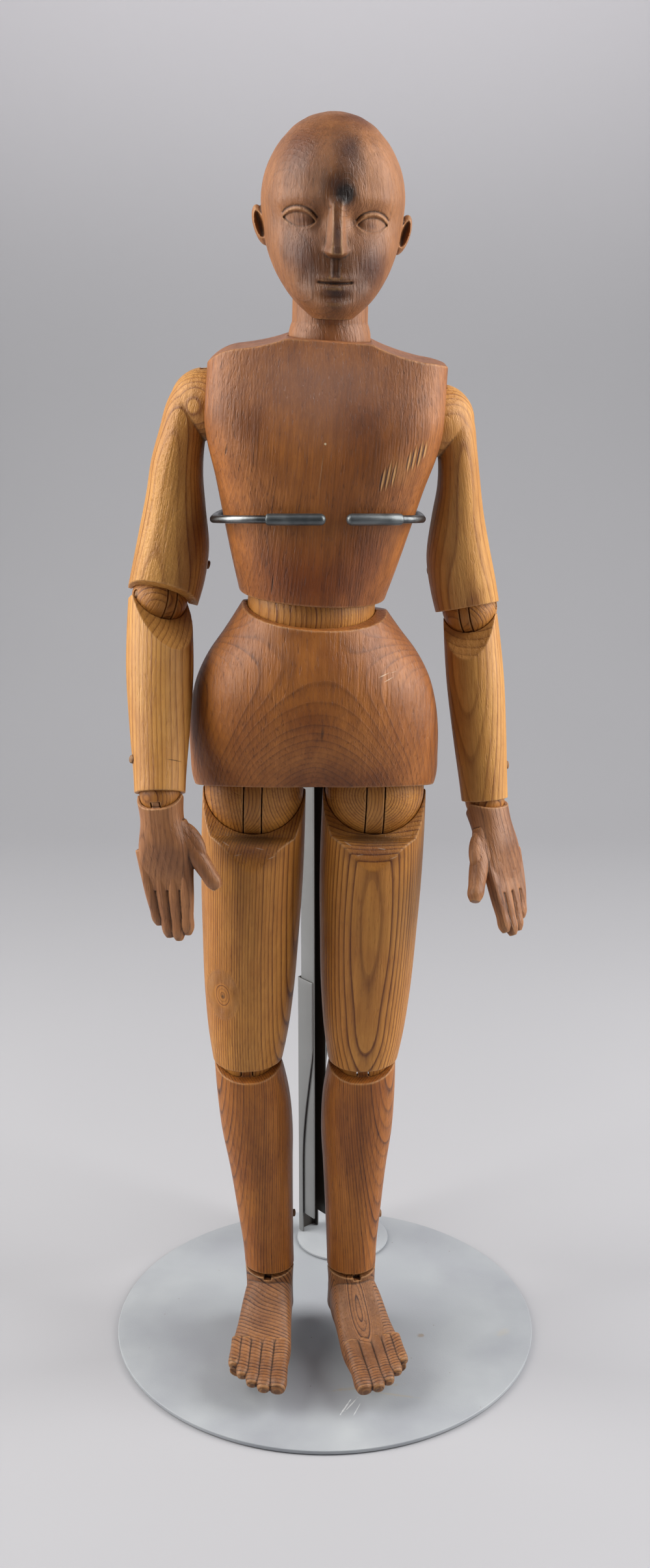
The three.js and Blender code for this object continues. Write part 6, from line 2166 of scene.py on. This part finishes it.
@dataclass
class Studio:
    """A pale seamless sweep, two large soft boxes at the sides, and the camera of the photograph."""

    focal_pixels: float = 2800
    frame_height: float = 2411
    eye: Point = (0, -1171.75, 780.83)
    pitch: float = 17.23

    def build(self) -> None:
        """Sets the sweep, the lamps and the camera."""
        scene = bpy.context.scene
        scene.view_settings.view_transform = "Standard"
        for spare in [thing for thing in scene.objects if thing.type in {"CAMERA", "LIGHT"}]:
            bpy.data.objects.remove(spare)
        eye = bpy.data.cameras.new("eye")
        eye.sensor_fit, eye.sensor_height = "VERTICAL", 36
        eye.lens = 36 * self.focal_pixels / self.frame_height
        holder = bpy.data.objects.new("eye", eye)
        holder.location = Vector(self.eye) * MM
        holder.rotation_euler = Euler((math.radians(90 - self.pitch), 0, 0))
        scene.collection.objects.link(holder)
        scene.camera = holder
        self.lamp("left_box", (-1.35, -0.1, 1.15), (0, 0, 0.55), (1.2, 1.7), 43, "#fffbf5")
        self.lamp("right_box", (1.38, -0.06, 1.15), (0, 0, 0.55), (1.2, 1.7), 47, "#fffcf8")
        self.lamp("top_box", (0, -0.7, 2.3), (0, 0.1, 0.4), (1.8, 1.2), 6, "#f6f8ff")
        world = bpy.data.worlds.new("studio")
        world.use_nodes = True
        add, fill = partial(add_node, world.node_tree), world.node_tree.nodes["Background"]
        plug(fill, {"Color": linear("#e4e6ec"), "Strength": 0.1})
        # Past the sweep's edges the eye meets a pale grey that gives no light.
        seen = add("Background", {"Color": linear("#c4c4ca")})
        eye_ray = add("LightPath", out="Is Camera Ray")
        both = add("MixShader", {0: eye_ray, 1: fill.outputs[0], 2: seen})
        plug(world.node_tree.nodes["World Output"], {"Surface": both})
        scene.world = world
        self.sweep()

    def lamp(self, name: str, at: Point, target: Point, size: Flat, power: float, colour: str) -> None:
        """Hangs one soft box.

        Args:
            name: its name.
            at: where it hangs, in metres.
            target: the point that it faces.
            size: its width and height.
            power: its power in watts.
            colour: its colour, sRGB hex.
        """
        lamp = bpy.data.lights.new(name, "AREA")
        lamp.shape, lamp.size, lamp.size_y = "RECTANGLE", *size
        lamp.energy, lamp.color = power, linear(colour)[:3]
        holder = bpy.data.objects.new(name, lamp)
        holder.location = at
        holder.rotation_euler = (Vector(target) - Vector(at)).to_track_quat("-Z", "Y").to_euler()
        bpy.context.scene.collection.objects.link(holder)

    def sweep(self) -> None:
        """Lays the pale paper sweep under and behind the figure."""
        bend, back, front, wide, tall = 0.9, 1.1, -1.6, 3.6, 3.0
        line = [(front, 0.0), (back, 0.0)]
        turns = np.linspace(0, math.pi / 2, 24)[1:]
        line += [(back + bend * math.sin(a), bend - bend * math.cos(a)) for a in turns]
        line.append((back + bend, tall))
        points = [(x, y, z - 0.0006) for y, z in line for x in (-wide, wide)]
        faces = [(2 * i, 2 * i + 1, 2 * i + 3, 2 * i + 2) for i in range(len(line) - 1)]
        mesh = bpy.data.meshes.new("sweep")
        mesh.from_pydata(points, [], faces)
        mesh.polygons.foreach_set("use_smooth", [True] * len(mesh.polygons))
        paper, add, where = open_material("matt_background_paper")
        shader = paper.node_tree.nodes["Principled BSDF"]
        tooth = add("TexNoise", {"Vector": where, "Scale": 3 * MM, "Detail": 2.0})
        tone = add("Mix", {0: tooth, 6: linear("#acadb2"), 7: linear("#a8a9ae")}, 2, data_type="RGBA")
        # Painted light: the paper is painted paler where it hangs, from half a metre up.
        up = add("SeparateXYZ", {"Vector": where}, "Z")
        rise = {"Value": up, "From Min": 0.5 / MM, "From Max": 1.5 / MM}
        rise = add("MapRange", rise, interpolation_type="SMOOTHSTEP")
        tone = add("Mix", {0: rise, 6: tone, 7: linear("#e6e5ec")}, 2, data_type="RGBA")
        plug(shader, {"Base Color": tone, "Roughness": 0.95})
        # From behind, the sweep lets the figure be seen.
        behind, clear = add("NewGeometry", out="Backfacing"), add("BsdfTransparent")
        both = add("MixShader", {0: behind, 1: shader.outputs[0], 2: clear})
        plug(paper.node_tree.nodes["Material Output"], {"Surface": both})
        mesh.materials.append(paper)
        made = bpy.data.objects.new("sweep", mesh)
        bpy.context.scene.collection.objects.link(made)


def arms(skeleton: Skeleton) -> list[Arm]:
    """The two arms, as each was carved and posed.

    Args:
        skeleton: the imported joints.

    Returns:
        The right arm and the left one.
    """
    crack_and_shadow, purple, brown = Tone.CRACK.value, Tone.PURPLE.value, Tone.BROWN.value
    # Painted shade down the inner front of the right upper arm, in stain brown.
    inner_arm_shade = stain((14, -16, -80), (14, 24, 50), brown, 0.8)
    nick = Mark((2, -20, -108), (9, 8, 0.5), crack_and_shadow, 0.7, 4, 0.6, 0.3)
    plum = stain((0, 0, -30), (16, 16, 20), purple, 0.7)
    right = Arm(
        skeleton,
        Side.RIGHT,
        slim=0,
        finger_length=43,
        wrist_bend=-17,
        elbow_lift=30,
        upper_edges=(
            (15, 15, -6), (7, 20.6, -4.6), (-2, 23.4, -4.4), (-22, 24.6, -4.8), (-42, 25.2, -8.2),
            (-62, 23.6, -14.6), (-88, 22.6, -23.2), (-110, 21.8, -25.4), (-126.5, 21.2, -24.8),
        ),
        upper_grain=Grain((14, 62), (2, -3), 2.3, 3.0, 6.1, (inner_arm_shade,), chatter=0.9),
        fore_grain=Grain((-60, 50), (0, 2), 2.6, 3.0, 7.4, (nick,), chatter=0.2),
        hand_grain=Grain((30, 40), (6, 4), 2.0, 2.0, 8.3, (stain((0, -9, -40), (18, 8, 22), purple, 0.4),)),
    )
    left = Arm(
        skeleton,
        Side.LEFT,
        slim=2.7,
        finger_length=37,
        wrist_bend=14,
        elbow_lift=20,
        upper_edges=(
            (15, 15, -6), (7, 20, -4.6), (-2, 21.8, -4.2), (-22, 21, -4.1), (-42, 19.8, -7.6),
            (-62, 18.8, -14.6), (-88, 19, -22.2), (-110, 19.6, -23.2), (-126.5, 19.6, -22.4),
        ),
        upper_grain=Grain((-12, 74), (2, 3), 3.3, 3.5, 9.7, chatter=0.2),
        fore_grain=Grain((10, 66), (-2, 1), 2.8, 4.0, 10.9, chatter=0.2),
        hand_grain=Grain((-30, 40), (6, -4), 2.0, 2.0, 11.3, (plum,)),
    )
    return [right, left]


def legs(skeleton: Skeleton) -> list[Leg]:
    """The two legs, as each was sawn.

    Args:
        skeleton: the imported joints.

    Returns:
        The right leg and the left one.
    """
    purple, dust = Tone.PURPLE.value, Tone.DUST.value
    hairs = ((-17, -30, -30, 24), (-9, -32, -36, -12), (5, -33, -32, 9), (13, -33, -37, -20))
    # Under the hip ball: a dark band of dirt and painted shade along the crack, a stain and dust hairs.
    scoop = (
        Mark((0, -25, -28), (36, 11, 4.4), "#3c2817", 0.8, soft=0.8),
        stain((0, -32, -36), (34, 10, 13), "#94704c", 0.85),
        *(Mark((x, y, z), (4, 4, 0.4), dust, 0.4, turn, 0.6) for x, y, z, turn in hairs),
    )
    at = (-17, -32, -139)
    dot = Mark(at, (1.8, 9, 2.6), Tone.KNOT.value, 0.9, soft=0.5, dent=0.2)
    ringed = (Knot(at, (0, 1, 0.1), 12, 1.6),)
    instep = stain((-2, -36, -26), (14, 14, 10), purple, 0.8)
    toe_roots = stain((8, -60, -36), (16, 16, 10), purple, 0.8)
    branch = Knot((-3, -38, -24), (0, 0.6, 0.8), 15, 2.0)
    right = Leg(
        skeleton,
        Side.RIGHT,
        thigh_grain=Grain((-170, 40), (0, 1), 1.9, 1.5, 12.1, (*scoop, dot), ringed, 0.12),
        shin_grain=Grain((140, 60), (0, 1), 1.6, 1.5, 13.7, chatter=0.12),
        foot_grain=Grain((26, 30), (24, -18), 2.6, 3.0, 14.9, (instep,), chatter=0.3),
        hip_grain=Grain((40, 10), (70, 30), 1.9, 1.5, 15.3),
    )
    left = Leg(
        skeleton,
        Side.LEFT,
        thigh_grain=Grain((2, 120), (3, 0), 2.0, 1.6, 16.3, scoop, chatter=0.12),
        shin_grain=Grain((-150, 70), (0, -1), 1.6, 1.5, 17.1, chatter=0.12),
        foot_grain=Grain((-10, 40), (20, 6), 2.4, 3.0, 18.7, (toe_roots,), (branch,), 0.3),
        hip_grain=Grain((0, 0), (84, 0), 1.8, 1.5, 19.9),
    )
    return [right, left]


def dress_hidden(frame: dict) -> None:
    """Gives the swivels that stay inside the chest a timber of their own.
    """
    look = BALL_PINE.material("swivels", Grain((0, 60), (0, 0), 1.8, 1.0, 21.1))
    for node in ("neck_stub", "right_shoulder_stub", "left_shoulder_stub"):
        for slot in frame["nodes"][node].material_slots:
            slot.material = look
        LOG.info("%s: kept, with its own timber", node)


def main() -> None:
    """Builds the studio and the figure."""
    logging.basicConfig(level=logging.INFO, format="%(message)s")
    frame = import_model()
    skeleton = Skeleton(frame)
    Studio().build()
    torso = Torso(skeleton)
    Stand(skeleton, torso).build()
    torso.build()
    WaistBall(skeleton).build()
    Pelvis(skeleton).build()
    Head(skeleton).build()
    for limb in [*arms(skeleton), *legs(skeleton)]:
        limb.build()
    dress_hidden(frame)


if __name__ == "__main__":
    main()
